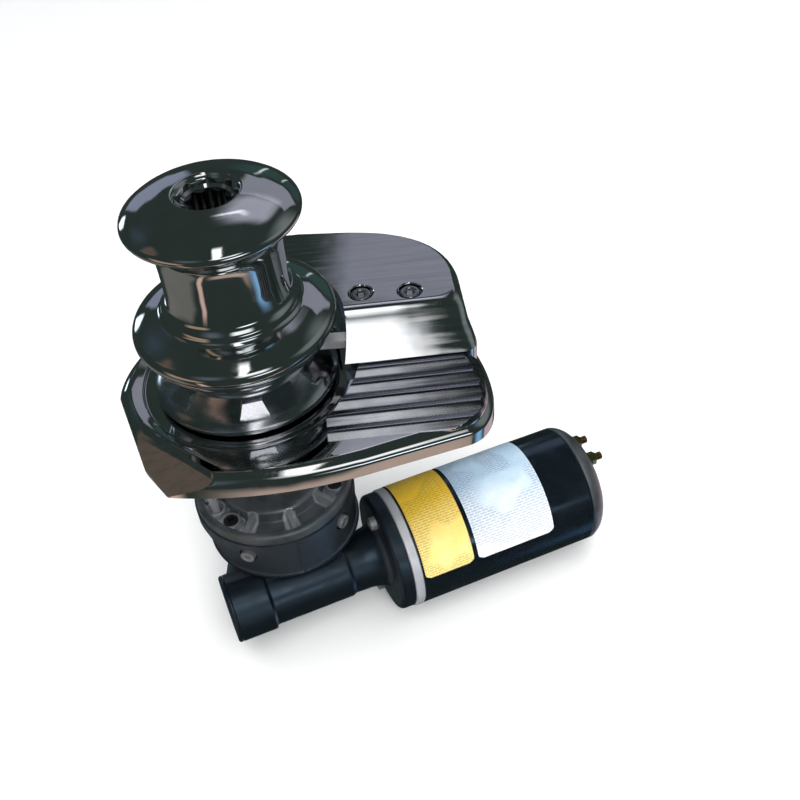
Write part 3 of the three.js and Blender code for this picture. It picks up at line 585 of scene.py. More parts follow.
def flute_solid():
    """The fluted slope in front of the cover, rounded off along the base's right edge."""
    depth = (CREASE_Y - FLUTE_FRONT) / FLUTE_COUNT
    rise = (CREASE_Z - BASE_TOP) / FLUTE_COUNT
    section = [(FLUTE_FRONT, 8), (FLUTE_FRONT, BASE_TOP - 0.5)]
    for flute in range(FLUTE_COUNT):
        y, z = FLUTE_FRONT + depth * flute, BASE_TOP + rise * flute
        crest = (y + depth * 0.42, z + rise * 0.98)
        section += curve((y, z - 0.1), (y + depth * 0.18, z + rise * 0.42), crest, 5)
        section += curve(crest, (y + depth * 0.6, z + rise * 1.36), (y + depth * 0.76, z + rise * 1.2), 5)
        section += curve(section[-1], (y + depth * 0.9, z + rise * 1.06), (y + depth, z + rise), 4)
    section.append((CREASE_Y, 8))
    slope = prism("flutes", section, 50, BASE_RIGHT)
    matrix = Matrix(((0, 0, 1, 0), (1, 0, 0, 0), (0, 1, 0, 0), (0, 0, 0, 1)))
    moved(slope, matrix)
    levels = [(3, 8), (3.2, 15), (4.5, 19), (7.5, 23), (12, 26.5), (18, 29.5)]
    edge = loft("edge", [at_height(base_outline(inset), z) for inset, z in levels])
    return combine(slope, [edge], "INTERSECT")


def base_plate():
    levels = [(0.6, 0), (0, 0.8), (0, 8.6), (0.3, 9.8), (1.2, 11.2), (2.6, 12.6), (4.4, 13.8)]
    levels += [(6.4, 14.7), (8.4, 15)]
    body = loft("base", [at_height(base_outline(inset), z) for inset, z in levels], POLISHED)
    heading = Matrix.Rotation(math.radians(FACET_HEADING), 4, "Z")
    tilt = heading @ Matrix.Rotation(math.radians(FACET_SLOPE), 4, "Y")
    facet = block("facet", (-60, -60, 0), (60, 60, 40))
    moved(facet, Matrix.Translation((*FACET, BASE_TOP)) @ tilt)
    joined(body, flute_solid())
    recess = turned("recess", [
        (0, RECESS_FLOOR), (RECESS_RADIUS, RECESS_FLOOR, 1.5), (RECESS_RADIUS, 12.2, 1.5),
        (RECESS_LIP - 2, 14.6, 2), (RECESS_LIP + 1, 15.3, 1), (RECESS_LIP + 1, 45), (0, 45),
    ], segments=160)
    bore = rod("bore", 18.2, -30, 20)
    pipe = rod("pipe", PIPE_BORE, -20, 20, at=PIPE)
    cut(body, facet, recess)
    hub = rod("hub", 27, -24, RECESS_FLOOR - 1)
    pocket = prism("pocket", base_outline(8), -1, 5)
    keep = [rod("keep", 30, -2, 6), rod("keep", 30, -2, 6, at=PIPE)]
    keep += [rod("keep", 9, -2, 6, at=polar(STUD_CIRCLE, a + GEARBOX_YAW)) for a in STUD_ANGLES]
    cut(pocket, *keep)
    cut(body, pocket)
    joined(body, hub)
    holes = [rod("hole", 3.8, -1, 7.5, at=polar(STUD_CIRCLE, a + GEARBOX_YAW)) for a in STUD_ANGLES]
    holes += [rod("hole", 4.3, 3, 30, at=spot) for spot in COVER_SCREWS]
    holes.append(rod("hole", 2.8, 3, 30, at=polar(STRIPPER_SCREW, STRIPPER_ANGLE)))
    cut(body, bore, pipe, *holes)
    body.data.materials.append(FLUTED)
    body.data.materials.append(STREAKED)
    facet_normal = tilt @ Vector((0, 0, 1))
    for face in body.data.polygons:
        x, y, z = face.center / MM
        on_flutes = x > 50 and FLUTE_FRONT < y < CREASE_Y and z > BASE_TOP - 1
        on_facet = face.normal.dot(facet_normal) > 0.998
        face.material_index = 1 if on_flutes else 2 if on_facet else 0
    return finished(body, "frame", "base_plate", "polished_stainless", sharp=32)


base_plate()


# ---------------------------------------------------------------- chain-pipe cover


def cover_outline(front_y, inset, corner):
    """The cover's outline at one height: straight front, rounded front-right corner, curved back."""
    side = [p for p in base_outline(inset) if p[0] > 60 and p[1] > -40]
    side.sort(key=lambda p: math.atan2(p[1] - 20, p[0] - 60))
    right = side[0][0]
    for a, b in zip(side, side[1:]):
        if a[1] <= front_y + corner <= b[1]:
            share = (front_y + corner - a[1]) / (b[1] - a[1])
            right = a[0] + (b[0] - a[0]) * share
            break
    turn = (right, front_y + corner)
    start = (right - corner, front_y)
    front_points = [(COVER_LEFT + (start[0] - COVER_LEFT) * k / 12, front_y) for k in range(13)]
    bend = curve(start, (right + 0.3, front_y), turn, 12)
    rest = [turn] + [p for p in side if p[1] > turn[1] + 0.5 and p[0] > 70]
    rest += [(38, BASE_BACK - inset - 1), (COVER_LEFT, BASE_BACK - inset - 1.2)]
    return front_points + bend + resampled(rest, 60) + [(COVER_LEFT, (front_y + BASE_BACK) / 2)]


def resampled(line, count):
    """Evenly spaced points along a line, without its start."""
    places = [Vector(p) for p in line]
    lengths = [0]
    for a, b in zip(places, places[1:]):
        lengths.append(lengths[-1] + (b - a).length)
    result = []
    segment = 0
    for k in range(1, count + 1):
        goal = lengths[-1] * k / count
        while segment < len(lengths) - 2 and lengths[segment + 1] < goal:
            segment += 1
        span = lengths[segment + 1] - lengths[segment]
        share = (goal - lengths[segment]) / span if span else 0
        result.append(tuple(places[segment].lerp(places[segment + 1], min(1, share))))
    return result


def chain_cover():
    front = CREASE_Y + 0.3
    loops = [at_height(cover_outline(front, 3, 10), BASE_TOP + 0.3)]
    loops.append(at_height(cover_outline(front, 3, 10), CREASE_Z + 0.8))
    face = curve((front, CREASE_Z + 0.8), (-10, 40.5), (3.5, COVER_TOP - 2.6), 10)
    face += curve(face[-1], (5.6, COVER_TOP - 0.3), (COVER_EDGE_Y + 1, COVER_TOP), 7)
    for y, z in face:
        rise = (z - CREASE_Z) / (COVER_TOP - CREASE_Z)
        inset = 3 + 2.5 * rise**2 + 4 * rise**8
        loops.append(at_height(cover_outline(y, inset, 10 + 3 * rise), z))
    loops.append(at_height(cover_outline(COVER_EDGE_Y + 2, 10.4, 13), COVER_TOP))
    body = loft("cover", loops, STREAKED)
    x, y, radius = COVER_ARC
    arc = rod("arc", radius, 0, 60, at=(x, y), segments=160)
    inside = [at_height(cover_outline(front + 8, 10, 8), BASE_TOP - 2)]
    inside.append(at_height(cover_outline(COVER_EDGE_Y, 11, 8), COVER_TOP - COVER_WALL))
    hollow = loft("hollow", inside)
    cut(hollow, rod("arc_wall", radius + COVER_WALL, 0, 60, at=(x, y), segments=160))
    for spot in COVER_SCREWS:
        cut(hollow, rod("boss", 10, 0, 60, at=spot))
    mouth = block("mouth", (20, 34, BASE_TOP - 1), (100, 76, COVER_TOP - COVER_WALL))
    slot = turned_to(block("slot", (50, -5.3, BASE_TOP - 1), (78, 5.3, 36.8)), STRIPPER_ANGLE)
    counterbores = [rod("counterbore", 4.3, 0, 60, at=spot) for spot in COVER_SCREWS]
    for spot in COVER_SCREWS:
        bore = turned("counterbore", [
            (0, COVER_TOP - COUNTERBORE[1]), (COUNTERBORE[0], COVER_TOP - COUNTERBORE[1]),
            (COUNTERBORE[0], COVER_TOP - 0.7, 0.3), (COUNTERBORE[0] + 1, COVER_TOP + 0.3),
            (0, COVER_TOP + 0.3),
        ], segments=64)
        counterbores.append(moved(bore, Matrix.Translation((*spot, 0))))
    cut(body, arc, hollow, mouth, slot, *counterbores)
    return finished(body, "frame", "chain_cover", "polished_stainless", sharp=32)


chain_cover()


# ---------------------------------------------------------------- screws


def cap_screw(name, head_radius, head_height, shank_radius, shank_length, material):
    """A socket-head screw along Z. Its head stands on z = 0 and its shank goes down."""
    body = turned(name, [
        (0, -shank_length), (shank_radius, -shank_length), (shank_radius, 0), (head_radius, 0),
        (head_radius, head_height, head_radius * 0.16), (head_radius * 0.62, head_height, 0.3),
        (head_radius * 0.56, head_height - 0.5), (0, head_height - 0.5),
    ], material, 48)
    socket = rod("socket", head_radius * 0.54, head_height * 0.4, head_height + 1, segments=6)
    return cut(body, socket)


copies("cover_screw", cap_screw("screw", 6.5, 6, 4, 32, BOLT_STEEL), [
    Matrix.Translation((x, y, COVER_TOP - COUNTERBORE[1] + 0.3)) for x, y in COVER_SCREWS
], "frame", ["cover_screw_1", "cover_screw_2"], "stainless_fittings")

copies("lock_screw", cap_screw("screw", 5, 5, 3, 11, ZINC), [
    gearbox @ Matrix.Rotation(math.radians(angle), 4, "Z")
    @ Matrix.Translation((57.5 - 3 + 0.3, 0, -107)) @ Matrix.Rotation(math.pi / 2, 4, "Y")
    for angle in LOCK_SCREW_ANGLES
], "frame", [f"lock_screw_{i}" for i in range(1, 5)], "stainless_fittings")

copies("motor_screw", cap_screw("screw", 5, 5, 3, 17, ZINC), [
    drive_line @ Matrix.Translation((*polar(36, angle), ADAPTOR_START - 0.3))
    @ Matrix.Rotation(math.pi, 4, "X")
    for angle in (0, 180)
], "frame", ["motor_screw_1", "motor_screw_2"], "stainless_fittings")

copies("flange_screw", cap_screw("screw", 4.9, 4, 3, 26, DARK_STEEL_AND_SOCKET_SHADE), [
    gearbox @ Matrix.Translation((*polar(STUD_CIRCLE, angle), -93.2)) for angle in FLANGE_SCREW_ANGLES
], "frame", [f"flange_screw_{i}" for i in range(1, 5)], "machined_steel")

# ---------------------------------------------------------------- chain stripper


def chain_stripper():
    finger = block("stripper", (45, -4.5, 30), (79, 4.5, 36), STAINLESS)
    leg = block("leg", (74.5, -4.5, 15.3), (79, 4.5, 36))
    foot = block("foot", (74.5, -4.5, 15.3), (88, 4.5, 19.3))
    joined(finger, leg, foot)
    cut(finger, rod("hole", 2.8, 10, 25, at=(STRIPPER_SCREW, 0), segments=24))
    turned_to(finger, STRIPPER_ANGLE)
    return finished(finger, "frame", "chain_stripper", "stainless_fittings", round_edges=0.7)


chain_stripper()

# ---------------------------------------------------------------- gypsy


def gypsy():
    """The chain wheel: two coned cheeks, a groove between them, and a whelp between each two pockets."""
    body = turned("gypsy", [
        (0, 12), (57.6, 12), (59, 13.2, 1), (59, 15.6, 1.2), (55.5, 18.4, 2), (47, 22.5, 3), (39.5, 27, 2),
        (37, 32, 3), (39.5, 37, 2), (47, 41.5, 3), (54.5, 45.5, 2), (58, 48.2, 1.2), (58, 50.6, 1),
        (56.5, 52, 0.6), (0, 52),
    ], CHROME, 160)
    for sign in (-1, 1):
        for k in range(6):
            inner, middle, outer = 32 + sign * 5.8, 32 + sign * 12.4, 32 + sign * 16.6
            section = [
                [(30, -7, inner), (45, -6, inner), (45, 6, inner), (30, 7, inner)],
                [(30, -10, middle), (51.5, -9, middle), (51.5, 9, middle), (30, 10, middle)],
                [(30, -12, outer), (53, -10.5, outer), (53, 10.5, outer), (30, 12, outer)],
            ]
            joined(body, turned_to(loft("whelp", section), 60 * k + WHELP_PHASE))
    for sign in (-1, 1):
        seat = turned("seat", [
            (0, 32 + sign * 21), (34.6, 32 + sign * 21), (28, 32 + sign * 10), (0, 32 + sign * 10),
        ], segments=96)
        cut(body, seat)
    cut(body, rod("bore", 16.6, 0, 60))
    return finished(body, "gypsy", "gypsy", "polished_stainless", round_edges=0.7, sharp=28, segments=3)


gypsy()

# ---------------------------------------------------------------- drum


def lobed_socket(name, lobes, middle, swing, low, high):
    """A socket with soft lobes for a winch handle."""
    outline = []
    steps = lobes * 16
    for i in range(steps):
        angle = 2 * math.pi * i / steps
        wave = math.cos(lobes * angle)
        radius = middle + swing * (abs(wave) ** 0.7 * (1 if wave > 0 else -1))
        outline.append((radius * math.cos(angle), radius * math.sin(angle)))
    return prism(name, outline, low, high)


def drum():
    body = turned("drum", [
        (0, 57), (47, 57), (60, 54.9, 1.5), (62.5, 56.6, 1.2), (62.5, 60.2, 1.8), (60.6, 63, 1.8),
        (53, 67.6, 6), (44, 70.8, 2.5), (42.2, 72.5, 1.2), (41.6, 75.2, 1.5), (38.4, 79, 2.5),
        (37.1, 88, 8), (37, 105, 8), (37.8, 118, 6), (42.5, 127, 5), (50.8, 131.4, 1.6), (52, 133.4, 1.1),
        (51.3, 136.2, 1.6), (46, 140.4, 6), (38, 143.8, 8), (27, 146.9, 6), (19.8, 147.9, 1.3),
        (18.6, 146.6, 1.2),
        (17.4, 144.2, 1), (0, 144.2),
    ], POLISHED, 160)
    socket = lobed_socket("socket", 8, 11.8, 1.3, 118, 150)
    lead_profile = [(0, 140.8), (12.6, 140.8, 1), (16.8, 144.6, 1), (16.8, 146), (0, 146)]
    lead = turned("lead", lead_profile, segments=96)
    scallops = lobed_socket("scallops", 8, 16.6, 1.2, 143, 150)
    bore = rod("bore", 12.8, 50, 109.5)
    hole = rod("hole", 4.6, 100, 120, segments=32)
    cut(body, scallops, lead, socket, bore, hole)
    # The socket's walls and floor get the dark steel: a painted shade in the recess.
    body.data.materials.append(DARK_STEEL_AND_SOCKET_SHADE)
    for face in body.data.polygons:
        x, y, z = face.center / MM
        in_socket = math.hypot(x, y) < 13.5 and z > 110
        face.material_index = 1 if in_socket else 0
    return finished(body, "drum", "drum", "polished_stainless", round_edges=0.35, sharp=40)


drum()

# ---------------------------------------------------------------- gearbox flange


def gearbox_flange():
    body = turned("flange", [
        (0, -97), (55.9, -97, 0.5), (56.4, -96.4, 0.4), (56.4, -90, 1.4), (55.2, -88.8, 0.8),
        (52.4, -88.8, 0.8), (50.6, -90, 1), (50, -94, 1.5), (38.4, -94, 1.5), (37.4, -86.2, 1.4),
        (34.8, -84.6, 1.5), (27, -82.6, 3), (18, -80, 1), (0, -80),
    ], CAST)
    spigot = turned("spigot", [(31, -112), (39.2, -112), (39.2, -96), (31, -96)], None, 96, closed=True)
    collar = rod("collar", 26, -104, -96)
    ribs = []
    for angle in (-128, -90, -52, 52, 90, 128):
        foot = [(34, -2.6, -95), (53, -2.6, -95), (53, 2.6, -95), (34, 2.6, -95)]
        crest = [(34, -1.6, -85.4), (53, -1.6, -89.4), (53, 1.6, -89.4), (34, 1.6, -85.4)]
        ribs.append(turned_to(loft("rib", [foot, crest]), angle))
    pads = []
    for angle in STUD_ANGLES + FLANGE_SCREW_ANGLES:
        pad = turned("pad", [(0, -95), (8, -95), (7.4, -89.6, 0.8), (0, -89.6)], segments=48)
        pads.append(moved(pad, Matrix.Translation((*polar(STUD_CIRCLE, angle), 0))))
    joined(body, spigot, collar, *ribs, *pads)
    holes = [rod("bearing", 21.3, -118, -88.7), rod("seal", 16, -90, -79)]
    for angles, hole, seat in ((STUD_ANGLES, 4.2, 5.5), (FLANGE_SCREW_ANGLES, 3.3, 5.4)):
        for angle in angles:
            spot = polar(STUD_CIRCLE, angle)
            holes.append(rod("hole", hole, -118, -80, at=spot, segments=24))
            holes.append(rod("seat", seat, -93.5, -80, at=spot, segments=32))
    cut(body, *holes)
    moved(body, gearbox)
    return finished(body, "frame", "gearbox_flange", "cast_aluminium", round_edges=0.7, sharp=34)


gearbox_flange()

# ---------------------------------------------------------------- gearbox housing


def hull(name, first, second):
    """The convex solid round the points of two solids."""
    points = [v.co.copy() for obj in (first, second) for v in obj.data.vertices]
    for obj in (first, second):
        bpy.data.objects.remove(obj)
    shell = bmesh.new()
    for point in points:
        shell.verts.new(point)
    made = bmesh.ops.convex_hull(shell, input=shell.verts)
    unused = {v for v in made["geom_interior"] + made["geom_unused"] if isinstance(v, bmesh.types.BMVert)}
    bmesh.ops.delete(shell, geom=list(unused), context="VERTS")
    mesh = bpy.data.meshes.new(name)
    shell.to_mesh(mesh)
    shell.free()
    obj = bpy.data.objects.new(name, mesh)
    bpy.context.scene.collection.objects.link(obj)
    return obj


def housing():
    lip = (2.2, -2.3)
    top = rod("housing", 57.5, -106, -97.3, HOUSING_PAINT, ROUND)
    upper_ring = rod("ring", 57.5, -106, -105, segments=ROUND)
    taper = hull("taper", upper_ring, rod("ring", 53, -132, -131, segments=ROUND, at=lip))
    rim = turned("rim", [
        (0, -134.6), (54.6, -134.6, 0.8), (55.4, -133.4, 0.8), (55, -131.6, 0.8), (52, -130.6), (0, -130.6),
    ])
    moved(rim, Matrix.Translation((*lip, 0)))
    lower = turned("lower", [
        (0, -186), (41, -186, 1), (44, -183, 1), (44, -162, 8), (50, -134), (0, -134),
    ])
    web = hull(
        "web",
        moved(rod("tube_end", 21.5, TUBE_START + 2, -29), drive_line_local),
        rod("core", 40, -182, -150, segments=64),
    )
    tube = turned("tube", [
        (0, TUBE_START + 0.3), (24.9, TUBE_START + 0.3, 0.6), (24.9, -29.6, 0.8), (22.6, -28, 0.8),
        (22.5, 30.6, 1.2), (21.3, 32.6, 1.2), (21.6, 46, 3), (23.4, 55, 3), (27, 60), (0, 60),
    ], segments=96)
    adaptor = turned("adaptor", [
        (0, ADAPTOR_START), (42.4, ADAPTOR_START, 1.4), (44.6, ADAPTOR_START + 2.2, 1.2),
        (44.6, ADAPTOR_END, 0.4), (0, ADAPTOR_END),
    ], segments=ROUND)
    parts = [taper, rim, lower, web, moved(tube, drive_line_local), moved(adaptor, drive_line_local)]
    for angle in (-90, 0, 90):
        rib = [(48, -1.6, -133), (57.4, -1.2, -133), (57.4, 1.2, -133), (48, 1.6, -133)]
        crest = [(50, -1.6, -98.5), (58.6, -1.2, -98.5), (58.6, 1.2, -98.5), (50, 1.6, -98.5)]
        parts.append(turned_to(loft("rib", [rib, crest]), angle))
    joined(top, *parts)
    holes = [rod("spigot", 39.5, -140, -90), rod("cavity", 38.6, -173.2, -138)]
    holes.append(rod("bearing", 17.3, -190, -170))
    holes.append(moved(rod("worm", 13, -45, 45), drive_line_local))
    holes.append(moved(rod("worm_end", 18, TUBE_START - 1, -37), drive_line_local))
    holes.append(moved(rod("coupling", 16, 35, ADAPTOR_END + 1), drive_line_local))
    outward = Matrix.Translation((0, 0, -107)) @ Matrix.Rotation(math.pi / 2, 4, "Y")
    for angle in LOCK_SCREW_ANGLES:
        holes.append(turned_to(moved(rod("flat", 6.6, 54.5, 70), outward), angle))
        holes.append(turned_to(moved(rod("hole", 3.5, 30, 60), outward), angle))
    holes += [rod("nut", 8.2, -120, -90, at=polar(STUD_CIRCLE, a)) for a in STUD_ANGLES]
    holes += [rod("screw", 3.3, -122, -90, at=polar(STUD_CIRCLE, a)) for a in FLANGE_SCREW_ANGLES]
    holes.append(rod("plug", 4.5, -190, -170, at=(-32, 0)))
    cut(top, *holes)
    moved(top, gearbox)
    return finished(top, "frame", "gearbox_housing", "black_paint", round_edges=0.9, sharp=30, segments=3)


housing()

end_cap = turned("tube_cap", [
    (0, TUBE_START - 3), (8, TUBE_START - 3, 0.4), (9, TUBE_START - 2.2, 0.4), (19, TUBE_START - 2.2, 0.4),
    (20, TUBE_START - 3, 0.4), (23.6, TUBE_START - 3, 0.8), (24.9, TUBE_START - 1.6, 0.8),
    (24.9, TUBE_START, 0.2), (17.7, TUBE_START), (17.7, TUBE_START + 6), (0, TUBE_START + 6),
], HOUSING_PAINT)
finished(moved(end_cap, drive_line), "frame", "worm_end_cap", "black_paint", sharp=30)

# ---------------------------------------------------------------- motor

front_ring = turned("motor_ring", [
    (14, ADAPTOR_END + 0.3), (MOTOR_RADIUS - 0.6, ADAPTOR_END + 0.3, 0.4),
    (MOTOR_RADIUS, ADAPTOR_END + 0.9, 0.4), (MOTOR_RADIUS, RING_END - 0.4, 0.3),
    (MOTOR_RADIUS - 0.4, RING_END), (MOTOR_RADIUS - 4, RING_END),
    (MOTOR_RADIUS - 4, RING_END + 4), (14, RING_END + 4),
], TURNED_ALUMINIUM, ROUND, closed=True)
finished(moved(front_ring, drive_line), "frame", "motor_front_ring", "cast_aluminium", sharp=30)

can = turned("can", [
    (MOTOR_RADIUS - 3.5, RING_END + 0.3), (MOTOR_RADIUS - 0.5, RING_END + 0.3, 0.2),
    (MOTOR_RADIUS, RING_END + 0.8, 0.3), (MOTOR_RADIUS, RING_END + 10), (MOTOR_RADIUS, CAN_END - 10),
    (MOTOR_RADIUS, CAN_END - 0.6, 0.3),
    (MOTOR_RADIUS - 0.6, CAN_END, 0.2), (MOTOR_RADIUS - 3.5, CAN_END),
], CAN_PAINT, ROUND, closed=True)
finished(moved(can, drive_line), "frame", "motor_can", "black_paint", sharp=30)

rear_cap = turned("motor_cap", [
    (0, CAN_END - 12), (15, CAN_END - 12), (15, CAN_END - 4), (41, CAN_END - 4), (41, CAN_END + 0.3),
    (MOTOR_RADIUS - 0.4, CAN_END + 0.3, 0.3), (MOTOR_RADIUS, CAN_END + 0.9, 0.4),
    (MOTOR_RADIUS, CAN_END + 3, 1.4), (MOTOR_RADIUS - 3, CAN_END + 8.6, 2.5),
    (MOTOR_RADIUS - 10, CAN_END + 14, 2.5), (18, CAN_END + 14.9, 1),
    (16, CAN_END + 15, 0.4), (15, CAN_END + 14, 0.4), (0, CAN_END + 14),
], CAST)
cut(rear_cap, rod("bearing", 11.6, CAN_END - 13, CAN_END - 1.2))
for angle in TERMINAL_ANGLES:
    spot = polar(TERMINAL_CIRCLE, angle)
    cut(rear_cap, rod("hole", 3.3, CAN_END - 5, MOTOR_END + 1, at=spot, segments=24))
finished(moved(rear_cap, drive_line), "frame", "motor_end_cap", "cast_aluminium", sharp=30)


def terminal(index, angle):
    """A threaded brass stud with a nut and a washer."""
    profile = [(0, CAN_END - 2), (3, CAN_END - 2), (3, MOTOR_END + 5)]
    z = MOTOR_END + 5.0
    while z < MOTOR_END + 10:
        profile += [(3, z), (2.6, z + 0.4), (3, z + 0.8)]
        z += 0.8
    profile += [(2.4, MOTOR_END + 11), (0, MOTOR_END + 11)]
    stud = turned("terminal", profile, BRASS, 32)
    nut = rod("nut", 5.2, MOTOR_END + 1.2, MOTOR_END + 5, segments=6)
    washer = rod("washer", 5.2, MOTOR_END + 0.3, MOTOR_END + 1.4, segments=32)
    joined(stud, nut, washer)
    moved(stud, drive_line @ Matrix.Translation((*polar(TERMINAL_CIRCLE, angle), 0)))
    stud.name = f"terminal_post_{index}"
    finished(stud, "frame", f"terminal_{index}", "brass", sharp=25)


for index, angle in enumerate(TERMINAL_ANGLES):
    terminal(index + 1, angle)


def wrapped_label(name, start, end, look):
    """A foil wrapped on the can between two distances along the motor."""
    low_angle, high_angle = LABEL_ANGLES
    steps = 60
    corner = 4.0
    radius = MOTOR_RADIUS + 0.12
    points, uvs, faces = [], [], []
    rows = 16
    for i in range(steps + 1):
        angle = math.radians(low_angle + (high_angle - low_angle) * i / steps)
        run = min(i, steps - i) * math.radians(high_angle - low_angle) / steps * radius
        trim = corner - math.sqrt(max(0, corner**2 - (corner - min(run, corner)) ** 2))
        for j in range(rows + 1):
            s = start + trim + (end - start - 2 * trim) * j / rows
            points.append((radius * math.cos(angle), radius * math.sin(angle), s))
            uvs.append((s, math.degrees(angle) * math.radians(1) * radius))
    for i in range(steps):
        for j in range(rows):
            a = i * (rows + 1) + j
            faces.append((a, a + 1, a + rows + 2, a + rows + 1))
    obj = piece(name, points, faces, look)
    layer = obj.data.uv_layers.new(name="print")
    for loop in obj.data.loops:
        layer.data[loop.index].uv = uvs[loop.vertex_index]
    thick = obj.modifiers.new("foil", "SOLIDIFY")
    thick.thickness = 0.1 * MM
    thick.offset = 1
    applied(obj)
    moved(obj, drive_line)
    return finished(obj, "frame", sharp=50)


# Each label's first colour is a painted shade and its second a painted highlight; the white label's blue-grey
# is that painted shade.
YELLOW = label("yellow_label", (0.86, 0.55, 0.04), (1.0, 0.8, 0.3), (0.35, 0.22, 0.02))
WHITE = label("white_label", (0.42, 0.58, 0.72), (0.97, 0.98, 1.0), (0.15, 0.18, 0.32))
wrapped_label("label_yellow", 78.6, 117, YELLOW)
wrapped_label("label_white", 120.5, 182, WHITE)

# ---------------------------------------------------------------- camera, floor and light

CAMERA_PLACE = (0.0863, -0.4863, 0.4386)
YAW, PITCH, ROLL = math.radians(1.15), math.radians(43.78), math.radians(-5.36)
ahead = Vector((math.sin(YAW) * math.cos(PITCH), math.cos(YAW) * math.cos(PITCH), -math.sin(PITCH)))
level = Vector((math.cos(YAW), -math.sin(YAW), 0))
upward = level.cross(ahead)
right = math.cos(ROLL) * level + math.sin(ROLL) * upward
top = -math.sin(ROLL) * level + math.cos(ROLL) * upward
camera = bpy.data.objects.new("camera", bpy.data.cameras.new("camera"))
camera.data.lens = 45
camera.data.sensor_width = 36
camera.data.clip_start = 0.01
facing_along = Matrix((right, top, -ahead)).transposed().to_4x4()
camera.matrix_world = Matrix.Translation(CAMERA_PLACE) @ facing_along
bpy.context.scene.collection.objects.link(camera)
bpy.context.scene.camera = camera


def stage_plane(name, width, depth, matrix, material):
    half_w, half_d = width / 2 / MM, depth / 2 / MM
    corners = [(-half_w, -half_d, 0), (half_w, -half_d, 0), (half_w, half_d, 0), (-half_w, half_d, 0)]
    obj = piece(name, corners, [(0, 1, 2, 3)], material)
    obj.matrix_world = matrix
    return obj


floor_look = Look("floor", (0.93, 0.93, 0.93), 0, 0.6)
floor_look.color(floor_look.blend(floor_look.noise(3, 2), (0.92, 0.92, 0.92), (0.94, 0.94, 0.94)))
floor = stage_plane("floor", 12, 12, Matrix.Translation((0, 0, FLOOR_Z * MM)), floor_look.material)
floor.visible_glossy = False

# A pale wall on each side, seen only by a camera that looks level.
wall_look = Look("wall", (0.9, 0.9, 0.9), 0, 0.8)
wall_look.shader.inputs["Emission Color"].default_value = (1, 1, 1, 1)
wall_look.shader.inputs["Emission Strength"].default_value = 0.7
for side in range(4):
    upright = Matrix.Translation((0, 6, 2.7)) @ Matrix.Rotation(math.pi / 2, 4, "X")
    turn = Matrix.Rotation(side * math.pi / 2, 4, "Z")
    wall = stage_plane(f"wall_{side + 1}", 12, 6, turn @ upright, wall_look.material)
    wall.visible_glossy = False
    wall.visible_diffuse = False
    wall.visible_shadow = False


def glow(name, color, strength, soft):
    """A clear material that glows, less and less towards the edges of its plane."""
    material = bpy.data.materials.new(name)
    material.use_nodes = True
    nodes, links = material.node_tree.nodes, material.node_tree.links
    nodes.remove(nodes["Principled BSDF"])
    shine = nodes.new("ShaderNodeEmission")
    shine.inputs["Color"].default_value = (*color, 1)
    split = nodes.new("ShaderNodeSeparateXYZ")
    links.new(nodes.new("ShaderNodeTexCoord").outputs["Generated"], split.inputs["Vector"])
    amount = None
    for axis in ("X", "Y"):
        off_centre = nodes.new("ShaderNodeMath")
        off_centre.operation = "PINGPONG"
        off_centre.inputs[1].default_value = 0.5
        links.new(split.outputs[axis], off_centre.inputs[0])
        fade = nodes.new("ShaderNodeMapRange")
        fade.interpolation_type = "SMOOTHSTEP"
        fade.inputs["From Max"].default_value = soft
        fade.inputs["To Max"].default_value = strength if axis == "X" else 1
        links.new(off_centre.outputs["Value"], fade.inputs["Value"])
        if amount is None:
            amount = fade.outputs["Result"]
            continue
        product = nodes.new("ShaderNodeMath")
        product.operation = "MULTIPLY"
        links.new(amount, product.inputs[0])
        links.new(fade.outputs["Result"], product.inputs[1])
        amount = product.outputs["Value"]
    links.new(amount, shine.inputs["Strength"])
    clear = nodes.new("ShaderNodeBsdfTransparent")
    both = nodes.new("ShaderNodeAddShader")
    links.new(shine.outputs["Emission"], both.inputs[0])
    links.new(clear.outputs["BSDF"], both.inputs[1])
    links.new(both.outputs["Shader"], nodes["Material Output"].inputs["Surface"])
    return material


def glow_card(name, matrix, width, height, color, strength, soft):
    """A glowing card that is only seen in reflections and casts no shadow."""
    card = stage_plane(name, width, height, matrix, glow(name, color, strength, soft))
    card.visible_camera = False
    card.visible_shadow = False
    return card


def softbox(name, azimuths, elevations, color, strength, soft=0.15, distance=2.6):
    """A soft light card that faces the object and fills a range of directions in degrees.

    Azimuth 0 is behind the object (+Y), 90 is to its right (+X) and 180 is in front. A card below
    the floor is only seen in reflections, because the floor itself isn't.
    """
    azimuth, elevation = math.radians(sum(azimuths) / 2), math.radians(sum(elevations) / 2)
    out = Vector((
        math.sin(azimuth) * math.cos(elevation), math.cos(azimuth) * math.cos(elevation), math.sin(elevation),
    ))
    width = 2 * distance * math.tan(math.radians(azimuths[1] - azimuths[0]) / 2) * math.cos(elevation)
    height = 2 * distance * math.tan(math.radians(elevations[1] - elevations[0]) / 2)
    facing = Matrix.Translation(out * distance) @ out.to_track_quat("Z", "Y").to_matrix().to_4x4()
    glow_card(name, facing, width, height, color, strength, soft)


